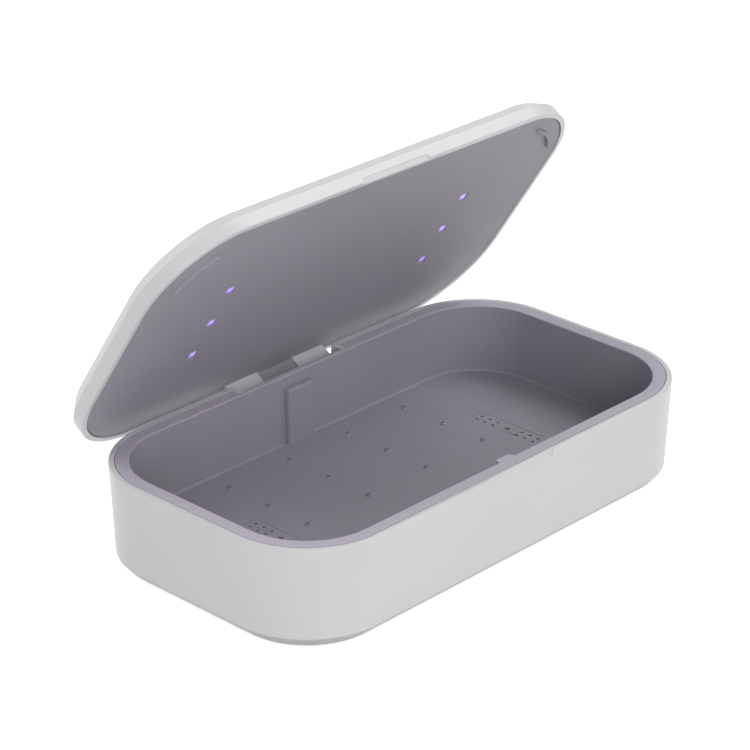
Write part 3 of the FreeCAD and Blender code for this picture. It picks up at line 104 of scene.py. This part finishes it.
# %% [markdown]
# Every material below is a small node tree. Three helpers keep those trees short: one turns a colour that
# is written as on a paint chart into the linear numbers that Blender counts with, one adds a node with
# its options, its numbers and the sockets that feed it, and one starts a material with what all of them
# need.


# %% Helpers for materials
def colour(hex_code):
    """A linear colour with alpha from an sRGB hex value such as #C0FFEE."""
    channels = [int(hex_code[start:start + 2], 16) / 255 for start in (1, 3, 5)]
    linear = [c / 12.92 if c <= 0.04045 else ((c + 0.055) / 1.055) ** 2.4 for c in channels]
    return (*linear, 1.0)


def add_node(tree, kind, options=(), numbers=(), links=()):
    """Adds a node; options are its own settings, numbers and links go to its inputs by name or index."""
    node = tree.nodes.new(kind)
    for name, setting in dict(options).items():
        setattr(node, name, setting)
    for name, number in dict(numbers).items():
        node.inputs[name].default_value = number
    for name, socket in dict(links).items():
        tree.links.new(socket, node.inputs[name])
    return node


def new_material(name):
    """A material with its tree, its surface shader and the piece's own coordinates in metres."""
    material = bpy.data.materials.new(name)
    material.use_nodes = True
    tree = material.node_tree
    tree.nodes.clear()
    shader = add_node(tree, "ShaderNodeBsdfPrincipled")
    add_node(tree, "ShaderNodeOutputMaterial", links={"Surface": shader.outputs["BSDF"]})
    place = add_node(tree, "ShaderNodeTexCoord").outputs["Object"]
    return material, tree, shader, place


# %% [markdown]
# Nearly everything here is moulded plastic. A mould leaves a fine even grain, which breaks up the
# highlights, and a faint cloudiness where the melt flowed. Both come from noise whose scale is worked out
# from a size in millimetres. The real grain is about a tenth of a millimetre. That is too fine for a
# picture in which a pixel is a third of a millimetre, so it is drawn a few times as coarse. Above a given
# level the same function can paint a second colour: painted light on the tray's rim, and painted shade
# on the tips of the pips.

# %% Moulded plastics
CLOUD_MM = 35
CLOUD_RANGE = (0.3, 0.7)
GRAIN_STRENGTH = 0.5
SHINE_SPREAD = 0.05
RIM_FADE_MM = 0.3
ABS_IOR = 1.53
# Sockets of a Mix node for colours, by index, because its sockets for numbers have the same names
MIX_SHARE = 0
MIX_FIRST = 6
MIX_SECOND = 7
MIX_RESULT = 2


def moulded_plastic(name, base, cloudy, roughness, grain_mm, grain_depth_mm, ior=ABS_IOR, rim=None):
    """Grained and slightly cloudy plastic; a rim is a colour painted above a level in millimetres, as painted
    light or shade.
    """
    material, tree, shader, place = new_material(name)
    clouds = add_node(tree, "ShaderNodeTexNoise", numbers={"Scale": 1 / (CLOUD_MM * MM), "Detail": 2},
                      links={"Vector": place})
    tint = add_node(tree, "ShaderNodeValToRGB", links={"Fac": clouds.outputs["Fac"]})
    for stop, position, hex_code in zip(tint.color_ramp.elements, CLOUD_RANGE, (cloudy, base)):
        stop.position = position
        stop.color = colour(hex_code)
    grain = add_node(tree, "ShaderNodeTexNoise", numbers={"Scale": 1 / (grain_mm * MM), "Detail": 3},
                     links={"Vector": place})
    bump = add_node(tree, "ShaderNodeBump",
                    numbers={"Strength": GRAIN_STRENGTH, "Distance": grain_depth_mm * MM},
                    links={"Height": grain.outputs["Fac"]})
    shine = add_node(tree, "ShaderNodeMapRange",
                     numbers={"To Min": roughness - SHINE_SPREAD, "To Max": roughness + SHINE_SPREAD},
                     links={"Value": grain.outputs["Fac"]})
    paint = tint.outputs["Color"]
    if rim:
        rim_colour, rim_level = rim
        height = add_node(tree, "ShaderNodeSeparateXYZ", links={"Vector": place})
        on_rim = add_node(tree, "ShaderNodeMapRange",
                          numbers={"From Min": (rim_level - RIM_FADE_MM) * MM, "From Max": rim_level * MM},
                          links={"Value": height.outputs["Z"]})
        painted = add_node(tree, "ShaderNodeMix", options={"data_type": "RGBA"},
                           numbers={MIX_SECOND: colour(rim_colour)},
                           links={MIX_SHARE: on_rim.outputs["Result"], MIX_FIRST: paint})
        paint = painted.outputs[MIX_RESULT]
    shader.inputs["IOR"].default_value = ior
    tree.links.new(paint, shader.inputs["Base Color"])
    tree.links.new(shine.outputs["Result"], shader.inputs["Roughness"])
    tree.links.new(bump.outputs["Normal"], shader.inputs["Normal"])
    return material


LAVENDER_GREY = ("#A5A1AB", "#A19DA7")
TRAY_RIM_MM = 40.8
# ABS with a satin mould finish: white, with broad soft highlights
white_abs = moulded_plastic("white_abs_satin", "#E2E2E3", "#DFDFE1",
                            roughness=0.35, grain_mm=0.5, grain_depth_mm=0.012)
# ABS with a spark-eroded mould finish: lavender grey, nearly without highlights
grey_abs = moulded_plastic("lavender_grey_abs_matt", *LAVENDER_GREY,
                           roughness=0.62, grain_mm=0.45, grain_depth_mm=0.03)
# The tray, of the same plastic: its flat rim is painted paler than its walls, as painted light on the
# upward-facing land
tray_abs = moulded_plastic("lavender_grey_abs_with_painted_lit_rim", *LAVENDER_GREY,
                           roughness=0.62, grain_mm=0.45, grain_depth_mm=0.03, rim=("#C2BDC9", TRAY_RIM_MM))
# The same plastic in a light grey, for the cover that faces the table: its grey is partly its own tone and partly
# painted shade on its down-facing chamfer
cover_abs = moulded_plastic("light_grey_abs_matt_with_painted_shade", "#C9C9CB", "#C5C5C8",
                            roughness=0.55, grain_mm=0.45, grain_depth_mm=0.02)
# Glass-filled nylon of chips and switches: near black, with a dull grain
black_nylon = moulded_plastic("black_nylon_moulded", "#1B1B1D", "#161618",
                              roughness=0.5, grain_mm=0.4, grain_depth_mm=0.02)
# Silicone rubber of the feet: dark grey and almost without shine
foot_rubber = moulded_plastic("silicone_rubber_moulded", "#4B4B4E", "#444447",
                              roughness=0.8, grain_mm=0.6, grain_depth_mm=0.03, ior=1.41)
# Ribbon lead, PVC drawn over flat copper: off-white with a soft shine
lead_pvc = moulded_plastic("ribbon_lead_pvc_extruded", "#CFCDC6", "#C8C6BF",
                           roughness=0.4, grain_mm=0.5, grain_depth_mm=0.01)
# Sintered alumina of the lamp packages: dense, white and slightly grainy
lamp_ceramic = moulded_plastic("sintered_alumina", "#D9D4DE", "#CFC9D6",
                               roughness=0.5, grain_mm=0.3, grain_depth_mm=0.01, ior=1.77)
finishes = (white_abs, grey_abs, tray_abs, cover_abs, black_nylon, foot_rubber, lead_pvc, lamp_ceramic)
print("moulded finishes:", [finish.name for finish in finishes])

# %% [markdown]
# The hidden pieces have other finishes: zinc on screws, pins and the socket, nickel on the magnet,
# green solder resist on the boards and felt under the grilles. Metals keep the shader's own index of
# refraction and get their look from roughness, here streaked or cloudy at a real scale.

# %% Metals, boards and felt
STREAK_SPREAD = 0.08
TRACE_PITCH_MM = 1.6
FIBRE_MM = 0.3
FELT_DEPTH_MM = 0.1


def bare_metal(name, base, roughness, streak_mm, squeeze):
    """Metal whose roughness varies in streaks or clouds, squeezed along each axis by a factor."""
    material, tree, shader, place = new_material(name)
    squeezed = add_node(tree, "ShaderNodeMapping", numbers={"Scale": squeeze}, links={"Vector": place})
    streaks = add_node(tree, "ShaderNodeTexNoise", numbers={"Scale": 1 / (streak_mm * MM), "Detail": 4},
                       links={"Vector": squeezed.outputs["Vector"]})
    spread = add_node(tree, "ShaderNodeMapRange",
                      numbers={"To Min": roughness - STREAK_SPREAD, "To Max": roughness + STREAK_SPREAD},
                      links={"Value": streaks.outputs["Fac"]})
    shader.inputs["Base Color"].default_value = colour(base)
    shader.inputs["Metallic"].default_value = 1.0
    tree.links.new(spread.outputs["Result"], shader.inputs["Roughness"])
    return material


def solder_resist(name, base, trace):
    """Green lacquer over copper traces, which show as slightly lighter bands."""
    material, tree, shader, place = new_material(name)
    bands = add_node(tree, "ShaderNodeTexBrick", options={"offset": 0.5, "squash": 1.0},
                     numbers={"Color1": colour(base), "Color2": colour(trace), "Mortar": colour(base),
                              "Scale": 1 / (2 * TRACE_PITCH_MM * MM), "Mortar Size": 0.03},
                     links={"Vector": place})
    shader.inputs["Roughness"].default_value = 0.3
    shader.inputs["IOR"].default_value = 1.5
    tree.links.new(bands.outputs["Color"], shader.inputs["Base Color"])
    return material


def pressed_felt(name, base, shadow):
    """Tangled fibres: a noise at fibre width, with a soft sheen at grazing angles."""
    material, tree, shader, place = new_material(name)
    fibres = add_node(tree, "ShaderNodeTexNoise", numbers={"Scale": 1 / (FIBRE_MM * MM), "Detail": 6},
                      links={"Vector": place})
    tint = add_node(tree, "ShaderNodeValToRGB", links={"Fac": fibres.outputs["Fac"]})
    tint.color_ramp.elements[0].color = colour(shadow)
    tint.color_ramp.elements[1].color = colour(base)
    bump = add_node(tree, "ShaderNodeBump", numbers={"Distance": FELT_DEPTH_MM * MM},
                    links={"Height": fibres.outputs["Fac"]})
    shader.inputs["Roughness"].default_value = 0.95
    shader.inputs["Sheen Weight"].default_value = 0.3
    tree.links.new(tint.outputs["Color"], shader.inputs["Base Color"])
    tree.links.new(bump.outputs["Normal"], shader.inputs["Normal"])
    return material


# Turned steel under zinc: grey, with fine level bands that break up its highlights
screw_steel = bare_metal("zinc_plated_steel", "#A9A9AB", roughness=0.35, streak_mm=0.4, squeeze=(1, 1, 6))
# Nickel plate over the magnet: bright and a little warm, with soft clouds in its reflections
magnet_nickel = bare_metal("nickel_plate", "#B7B5AF", roughness=0.2, streak_mm=1.5, squeeze=(1, 1, 1))
# Printed solder resist: glossy green, lighter where copper runs below it
board_laminate = solder_resist("green_solder_resist_printed", "#1F5A38", "#2A6B45")
# Pressed wool felt: off-white and fibrous, without a highlight
pad_felt = pressed_felt("wool_felt_pressed", "#DDDAD0", "#A9A69C")
finishes = (screw_steel, magnet_nickel, board_laminate, pad_felt)
print("hidden finishes:", [finish.name for finish in finishes])

# %% [markdown]
# A lit lamp shows as a small lilac window. A glow that is the same all over would look like paint, so a
# smooth blotch of about the lamp's own size shifts it between two violets. It is kept so weak that it
# colours only its own window. The indicator's lens on the lid is clear acrylic, with a faint ripple that
# bends what is behind it.

# %% Lamp glow and clear lens
BLOTCH_MM = 2.2
BLOTCH_RANGE = (0.35, 0.65)
GLOW_STRENGTH = 0.75
RIPPLE_MM = 2
RIPPLE_DEPTH_MM = 0.01


def lamp_glow(name, bright, deep):
    """A clear window with a glow that changes smoothly between two colours."""
    material, tree, shader, place = new_material(name)
    blotch = add_node(tree, "ShaderNodeTexNoise", numbers={"Scale": 1 / (BLOTCH_MM * MM), "Detail": 0},
                      links={"Vector": place})
    tint = add_node(tree, "ShaderNodeValToRGB", links={"Fac": blotch.outputs["Fac"]})
    for stop, position, hex_code in zip(tint.color_ramp.elements, BLOTCH_RANGE, (deep, bright)):
        stop.position = position
        stop.color = colour(hex_code)
    shader.inputs["Roughness"].default_value = 0.25
    shader.inputs["Emission Strength"].default_value = GLOW_STRENGTH
    tree.links.new(tint.outputs["Color"], shader.inputs["Base Color"])
    tree.links.new(tint.outputs["Color"], shader.inputs["Emission Color"])
    return material


def clear_acrylic(name, base):
    """Clear plastic with a faint ripple."""
    material, tree, shader, place = new_material(name)
    ripple = add_node(tree, "ShaderNodeTexNoise", numbers={"Scale": 1 / (RIPPLE_MM * MM)},
                      links={"Vector": place})
    bump = add_node(tree, "ShaderNodeBump", numbers={"Strength": 0.2, "Distance": RIPPLE_DEPTH_MM * MM},
                    links={"Height": ripple.outputs["Fac"]})
    shader.inputs["Base Color"].default_value = colour(base)
    shader.inputs["Roughness"].default_value = 0.08
    shader.inputs["IOR"].default_value = 1.49
    shader.inputs["Transmission Weight"].default_value = 0.8
    tree.links.new(bump.outputs["Normal"], shader.inputs["Normal"])
    return material


# Polished quartz over a lit chip: lilac, a little uneven, brighter than anything round it
lamp_violet = lamp_glow("lit_quartz_polished", "#B9A2F5", "#A98FEF")
# Cast acrylic of the indicator's lens: clear, with a small sharp highlight
clear_lens = clear_acrylic("clear_acrylic_cast", "#EDF3F0")
print("clear finishes:", [lamp_violet.name, clear_lens.name])

# %% [markdown]
# Each CAD piece takes the material of its slot in the record, and only the tray has a finish of its own.
# Pieces that stay hidden inside the housing keep their CAD mesh and only change material.

# %% Materials on the CAD pieces
MATERIAL_OF_SLOT = {
    "white_shell": white_abs,
    "grey_liner": grey_abs,
    "grey_cover": cover_abs,
    "foot_rubber": foot_rubber,
    "screw_steel": screw_steel,
    "board_laminate": board_laminate,
    "black_plastic": black_nylon,
    "flat_lead": lead_pvc,
    "pad_felt": pad_felt,
    "lamp_window": lamp_violet,
    "clear_lens": clear_lens,
    "magnet_nickel": magnet_nickel,
}
for name, node in nodes.items():
    node.data.materials.clear()
    node.data.materials.append(tray_abs if name == "inner_tray" else MATERIAL_OF_SLOT[slot_of_node[name]])
print("materials on", len(nodes), "CAD pieces")

# %% [markdown]
# A mould has no knife edges: every edge of the real box is rounded by a tenth of a millimetre or more,
# and that thin highlight is what makes it look like plastic. The CAD mesh is triangles that are split
# along each edge, so a copy is merged, its flat triangles are joined into whole faces, and a Bevel
# modifier rounds what is still sharp. The copy then stands for its CAD piece. The tray has its round
# edges in the CAD already, so it keeps its own mesh.

# %% Rounded copies of the moulded pieces
MERGE_MM = 0.002
FLAT_DEGREES = 0.4
SHARP_DEGREES = 28
ROUNDING_SEGMENTS = 2
EDGE_MM = {
    "base_shell": 0.12,
    "lid_shell": 0.12,
    "lid_panel": 0.15,
    "bottom_cover": 0.2,
    "power_button": 0.15,
    "scent_grille_left": 0.1,
    "scent_grille_right": 0.1,
}


def rounded_copy(node_name, edge_mm):
    """A merged copy of a CAD piece with its sharp edges rounded, which stands for that piece."""
    mesh = nodes[node_name].data.copy()
    mesh.name = node_name + "_moulded"
    if "custom_normal" in mesh.attributes:
        mesh.attributes.remove(mesh.attributes["custom_normal"])
    build = bmesh.new()
    build.from_mesh(mesh)
    bmesh.ops.remove_doubles(build, verts=build.verts, dist=MERGE_MM * MM)
    bmesh.ops.dissolve_limit(build, angle_limit=math.radians(FLAT_DEGREES),
                             verts=build.verts, edges=build.edges)
    for face in build.faces:
        face.smooth = True
    for edge in build.edges:
        edge.smooth = edge.calc_face_angle(0) < math.radians(SHARP_DEGREES)
    build.to_mesh(mesh)
    build.free()
    piece = bpy.data.objects.new(mesh.name, mesh)
    scene.collection.objects.link(piece)
    rounding = piece.modifiers.new("mould_radius", "BEVEL")
    rounding.width = edge_mm * MM
    rounding.segments = ROUNDING_SEGMENTS
    rounding.limit_method = "ANGLE"
    rounding.angle_limit = math.radians(SHARP_DEGREES)
    rounding.use_clamp_overlap = False
    rounding.harden_normals = True
    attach(piece, body_of_node[node_name])
    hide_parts(node_name)
    print(piece.name, "faces:", len(mesh.polygons))
    return piece


moulded = {node_name: rounded_copy(node_name, edge_mm) for node_name, edge_mm in EDGE_MM.items()}

# %% [markdown]
# The grilles over the scent pads are pressed into the tray floor. The CAD model leaves them a wide joint
# and sets them a little deep, so that two solid pieces never touch. In the photograph the joint is almost
# lost, so the copies are grown by a tenth of a millimetre and their tops come up nearly flush with the
# floor.

# %% Grilles nearly flush with the floor
GRILLE_GROW_MM = 0.1
GRILLE_LIFT_MM = 0.22
for node_name in ("scent_grille_left", "scent_grille_right"):
    points = moulded[node_name].data.vertices
    low = Vector([min(point.co[axis] for point in points) for axis in range(3)])
    high = Vector([max(point.co[axis] for point in points) for axis in range(3)])
    middle = (low + high) / 2
    for point in points:
        for axis in (0, 1):
            reach = (point.co[axis] - middle[axis]) / (high[axis] - middle[axis])
            point.co[axis] += reach * GRILLE_GROW_MM * MM
        if point.co.z > middle.z:
            point.co.z += GRILLE_LIFT_MM * MM
    print(node_name, "was", [round(x / MM, 1) for x in high - low], "mm before it was grown")

# %% [markdown]
# The tray's pips and the lid's lamps are alike and stand in a grid, which is work for Geometry Nodes: a
# grid gives the places, one piece is put on each, and the copies are made real so that they can be
# exported. These helpers start such a tree, finish it, and run it once to get a plain mesh.

# %% Growing pieces from node trees
GRID_INPUTS = {
    "Length": "Float",
    "Depth": "Float",
    "Columns": "Int",
    "Rows": "Int",
    "Height": "Float",
    "Material": "Material",
}


def new_tree(name, own_inputs):
    """A geometry tree with the inputs of a grid and its own; gives back the tree and its input sockets."""
    tree = bpy.data.node_groups.new(name, "GeometryNodeTree")
    tree.interface.new_socket("Geometry", in_out="OUTPUT", socket_type="NodeSocketGeometry")
    for label, kind in {**GRID_INPUTS, **own_inputs}.items():
        tree.interface.new_socket(label, in_out="INPUT", socket_type="NodeSocket" + kind)
    return tree, add_node(tree, "NodeGroupInput").outputs


def put_on_grid(tree, size, shape):
    """Ends a tree: a copy of the shape on each point of a grid, made real and given its material."""
    places = add_node(tree, "GeometryNodeMeshGrid", links={
        "Size X": size["Length"],
        "Size Y": size["Depth"],
        "Vertices X": size["Columns"],
        "Vertices Y": size["Rows"],
    })
    copies = add_node(tree, "GeometryNodeInstanceOnPoints",
                      links={"Points": places.outputs["Mesh"], "Instance": shape})
    real = add_node(tree, "GeometryNodeRealizeInstances", links={"Geometry": copies.outputs[0]})
    dressed = add_node(tree, "GeometryNodeSetMaterial",
                       links={"Geometry": real.outputs[0], "Material": size["Material"]})
    add_node(tree, "NodeGroupOutput", links={0: dressed.outputs[0]})


def grow(name, tree, settings, placing, body_name):
    """Runs a tree once with its inputs set, and keeps the result as a plain mesh at its place."""
    host = bpy.data.objects.new(name + "_host", bpy.data.meshes.new(name + "_host"))
    scene.collection.objects.link(host)
    modifier = host.modifiers.new("grow", "NODES")
    modifier.node_group = tree
    for socket in tree.interface.items_tree:
        if socket.name in settings:
            modifier[socket.identifier] = settings[socket.name]
    grown = host.evaluated_get(bpy.context.evaluated_depsgraph_get())
    mesh = bpy.data.meshes.new_from_object(grown)
    host.modifiers.remove(modifier)
    bpy.data.objects.remove(host)
    mesh.name = name
    mesh.transform(placing)
    piece = bpy.data.objects.new(name, mesh)
    scene.collection.objects.link(piece)
    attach(piece, body_name)
    print(name, "faces:", len(mesh.polygons))
    return piece


# %% [markdown]
# Twenty pips keep a phone off the tray floor, so that the light reaches under it. Each is a flattened
# ball, half sunk in the floor, and covers the plain cone that the CAD model has in its place; its tip is
# painted darker as painted shade. The floor's height is found by a ray straight down onto the tray.

# %% Pips on the tray floor
PIP_COLUMNS = 4
PIP_ROWS = 5
PIP_PITCH_MM = (32, 20.9)
PIP_RADIUS_MM = 1.22
PIP_HEIGHT_MM = 0.85
PIP_TIP_MM = 0.8
ABOVE_TRAY = Vector((0, 0, 0.1))
DOWN = Vector((0, 0, -1))

pip_tree, size = new_tree("moulded_dots", {"Radius": "Float"})
ball = add_node(pip_tree, "GeometryNodeMeshUVSphere", numbers={"Segments": 24, "Rings": 12, "Radius": 1.0})
flattening = add_node(pip_tree, "ShaderNodeCombineXYZ",
                      links={"X": size["Radius"], "Y": size["Radius"], "Z": size["Height"]})
pip = add_node(pip_tree, "GeometryNodeTransform",
               links={"Geometry": ball.outputs["Mesh"], "Scale": flattening.outputs[0]})
smooth_pip = add_node(pip_tree, "GeometryNodeSetShadeSmooth", links={"Geometry": pip.outputs[0]})
put_on_grid(pip_tree, size, smooth_pip.outputs[0])

floor_level = nodes["inner_tray"].ray_cast(ABOVE_TRAY, DOWN)[1].z
# The tray's plastic with its tip painted darker: painted shade, which shows from above as a small dark spot
pip_abs = moulded_plastic("lavender_grey_abs_with_painted_shade_tip", *LAVENDER_GREY,
                          roughness=0.7, grain_mm=0.4, grain_depth_mm=0.02,
                          rim=("#726E78", floor_level / MM + PIP_TIP_MM))
grow(
    "tray_dots",
    pip_tree,
    {
        "Length": (PIP_COLUMNS - 1) * PIP_PITCH_MM[0] * MM,
        "Depth": (PIP_ROWS - 1) * PIP_PITCH_MM[1] * MM,
        "Columns": PIP_COLUMNS,
        "Rows": PIP_ROWS,
        "Radius": PIP_RADIUS_MM * MM,
        "Height": PIP_HEIGHT_MM * MM,
        "Material": pip_abs,
    },
    Matrix.Translation((0, 0, floor_level)),
    "base",
)

# %% [markdown]
# The lamps are small square plates with round corners, three in a row on each side of the lid. One tree
# makes such a plate: it fills an outline, raises it, closes it from below, and puts it on a grid of
# places. It serves twice, with other sizes: once for the ceramic bodies and once for the thin windows on
# them.

# %% A tree for rows of plates
WELD_MM = 0.001
plate_tree, size = new_tree("rows_of_plates", {"Size": "Float", "Corner": "Float"})
square = add_node(plate_tree, "GeometryNodeCurvePrimitiveQuadrilateral",
                  links={"Width": size["Size"], "Height": size["Size"]})
rounded = add_node(plate_tree, "GeometryNodeFilletCurve", options={"mode": "POLY"}, numbers={"Count": 4},
                   links={"Curve": square.outputs[0], "Radius": size["Corner"]})
plate = add_node(plate_tree, "GeometryNodeFillCurve", options={"mode": "NGONS"},
                 links={"Curve": rounded.outputs[0]})
raised = add_node(plate_tree, "GeometryNodeExtrudeMesh", numbers={"Individual": False},
                  links={"Mesh": plate.outputs[0], "Offset Scale": size["Height"]})
underside = add_node(plate_tree, "GeometryNodeFlipFaces", links={"Mesh": plate.outputs[0]})
closed = add_node(plate_tree, "GeometryNodeJoinGeometry", links={0: raised.outputs["Mesh"]})
plate_tree.links.new(underside.outputs[0], closed.inputs[0])
welded = add_node(plate_tree, "GeometryNodeMergeByDistance", numbers={"Distance": WELD_MM * MM},
                  links={"Geometry": closed.outputs[0]})
put_on_grid(plate_tree, size, welded.outputs[0])
print("tree for plates:", len(plate_tree.nodes), "nodes")

# %% [markdown]
# Each lamp is a small ceramic package with a window over its glowing chip, behind a square opening in the
# lid panel. The CAD has plain blocks in their place. Measured on the shut lid, those blocks give the
# size, the pitch and the height of the packages. The open lid's matrix then carries the finished lamps to
# where they belong.


# %% Lamp packages and their windows
def shut_box(node_name):
    """Lowest and highest corner of a lid piece, measured as if the lid were shut."""
    shut_lid = open_lid.inverted()
    corners = [shut_lid @ vertex.co for vertex in nodes[node_name].data.vertices]
    return [Vector([pick(corner[axis] for corner in corners) for axis in range(3)]) for pick in (min, max)]


LAMP_COLUMNS = 2
LAMP_ROWS = 3
LAMP_CORNER_MM = 0.3
LAMP_WINDOW_MM = 0.35
LAMP_RIM_MM = 0.12
LAMP_SUNK_MM = 0.1
lamp_low, lamp_high = shut_box("uv_lamps_right")
lamp_size = lamp_high.x - lamp_low.x
window_back = (LAMP_WINDOW_MM + LAMP_SUNK_MM) * MM
facing_down = Matrix.Rotation(math.pi, 4, "X")
lamp_rows = {
    "Length": lamp_high.x + lamp_low.x,
    "Depth": lamp_high.y - lamp_low.y - lamp_size,
    "Columns": LAMP_COLUMNS,
    "Rows": LAMP_ROWS,
    "Corner": LAMP_CORNER_MM * MM,
}
packages = grow(
    "lamp_packages",
    plate_tree,
    {
        **lamp_rows,
        "Size": lamp_size,
        "Height": lamp_high.z - lamp_low.z - window_back,
        "Material": lamp_ceramic,
    },
    open_lid @ Matrix.Translation((0, 0, lamp_high.z)) @ facing_down,
    "lid",
)
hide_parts("uv_lamps_left", "uv_lamps_right")
grow(
    "lamp_windows",
    plate_tree,
    {
        **lamp_rows,
        "Size": lamp_size - 2 * LAMP_RIM_MM * MM,
        "Height": LAMP_WINDOW_MM * MM,
        "Material": lamp_violet,
    },
    open_lid @ Matrix.Translation((0, 0, lamp_low.z + window_back)) @ facing_down,
    "lid",
)

# %% [markdown]
# The picture has a plain white background. The floor is pale paper that catches the box's shadow. For
# rays that come from the camera, or by way of a mirror or glass, it gets extra light of its own, so that
# it reads as white without lighting the box more. The world is treated in the same way: white to the eye,
# and a weak light.

# %% White floor and world
FLOOR_SIZE = 2.4
FLOOR_DROP_MM = 0.02
FLOOR_LIFT = 0.72
WORLD_LIGHT = 0.06


def seen_directly(tree):
    """1 for rays from the camera, by reflection or through glass, and 0 for light that falls on things."""
    path = add_node(tree, "ShaderNodeLightPath")
    either = add_node(tree, "ShaderNodeMath", options={"operation": "MAXIMUM"},
                      links={0: path.outputs["Is Camera Ray"], 1: path.outputs["Is Glossy Ray"]})
    any_of_three = add_node(tree, "ShaderNodeMath", options={"operation": "MAXIMUM"},
                            links={0: either.outputs[0], 1: path.outputs["Is Transmission Ray"]})
    return any_of_three.outputs[0]


half = FLOOR_SIZE / 2
floor_corners = [(-half, -half), (half, -half), (half, half), (-half, half)]
floor_mesh = bpy.data.meshes.new("floor")
floor_mesh.from_pydata([(x, y, -FLOOR_DROP_MM * MM) for x, y in floor_corners], [], [(0, 1, 2, 3)])
floor = bpy.data.objects.new("floor", floor_mesh)
scene.collection.objects.link(floor)

floor_paper = bpy.data.materials.new("white_paper")
floor_paper.use_nodes = True
paper_tree = floor_paper.node_tree
paper_tree.nodes.clear()
paper = add_node(paper_tree, "ShaderNodeBsdfDiffuse", numbers={"Color": colour("#F2F2F2")})
lift = add_node(paper_tree, "ShaderNodeMath", options={"operation": "MULTIPLY"}, numbers={1: FLOOR_LIFT},
                links={0: seen_directly(paper_tree)})
glow = add_node(paper_tree, "ShaderNodeEmission", links={"Strength": lift.outputs[0]})
both = add_node(paper_tree, "ShaderNodeAddShader", links={0: paper.outputs[0], 1: glow.outputs[0]})
add_node(paper_tree, "ShaderNodeOutputMaterial", links={"Surface": both.outputs[0]})
floor_mesh.materials.append(floor_paper)

world = bpy.data.worlds.new("studio")
scene.world = world
world.use_nodes = True
world_tree = world.node_tree
world_tree.nodes.clear()
strength = add_node(world_tree, "ShaderNodeMapRange", numbers={"To Min": WORLD_LIGHT, "To Max": 1.0},
                    links={"Value": seen_directly(world_tree)})
sky = add_node(world_tree, "ShaderNodeBackground", numbers={"Color": (1, 1, 1, 1)},
               links={"Strength": strength.outputs["Result"]})
add_node(world_tree, "ShaderNodeOutputWorld", links={"Surface": sky.outputs[0]})
print("floor:", FLOOR_SIZE, "m wide")

# %% [markdown]
# Five large soft lights stand round the box: the strongest low in front to the left, where it shines
# under the lid, one behind to the left, two higher up on the right, and a low one at the back for the
# lid's top. Their strengths were found by comparing the shades of the walls, the floor and the lid with
# the photograph.

# %% Soft lights
LIGHT_DISTANCE = 1.5
# Azimuth and elevation in degrees, watts, and width in metres
SOFTBOXES = {
    "front_left_softbox": (-30, 18, 9.8, 1.0),
    "back_left_softbox": (-130, 48, 8.0, 1.0),
    "front_right_softbox": (40, 48, 4.4, 1.0),
    "right_softbox": (85, 50, 6.2, 0.8),
    "back_softbox": (180, 18, 3.4, 1.0),
}
for name, (azimuth, elevation, watts, width) in SOFTBOXES.items():
    light = bpy.data.lights.new(name, "AREA")
    light.shape = "SQUARE"
    light.size = width
    light.energy = watts
    towards = direction(azimuth, elevation)
    softbox = bpy.data.objects.new(name, light)
    softbox.location = LOOKED_AT + towards * LIGHT_DISTANCE
    softbox.rotation_mode = "QUATERNION"
    softbox.rotation_quaternion = towards.to_track_quat("Z", "Y")
    scene.collection.objects.link(softbox)
scene.view_settings.view_transform = "Standard"
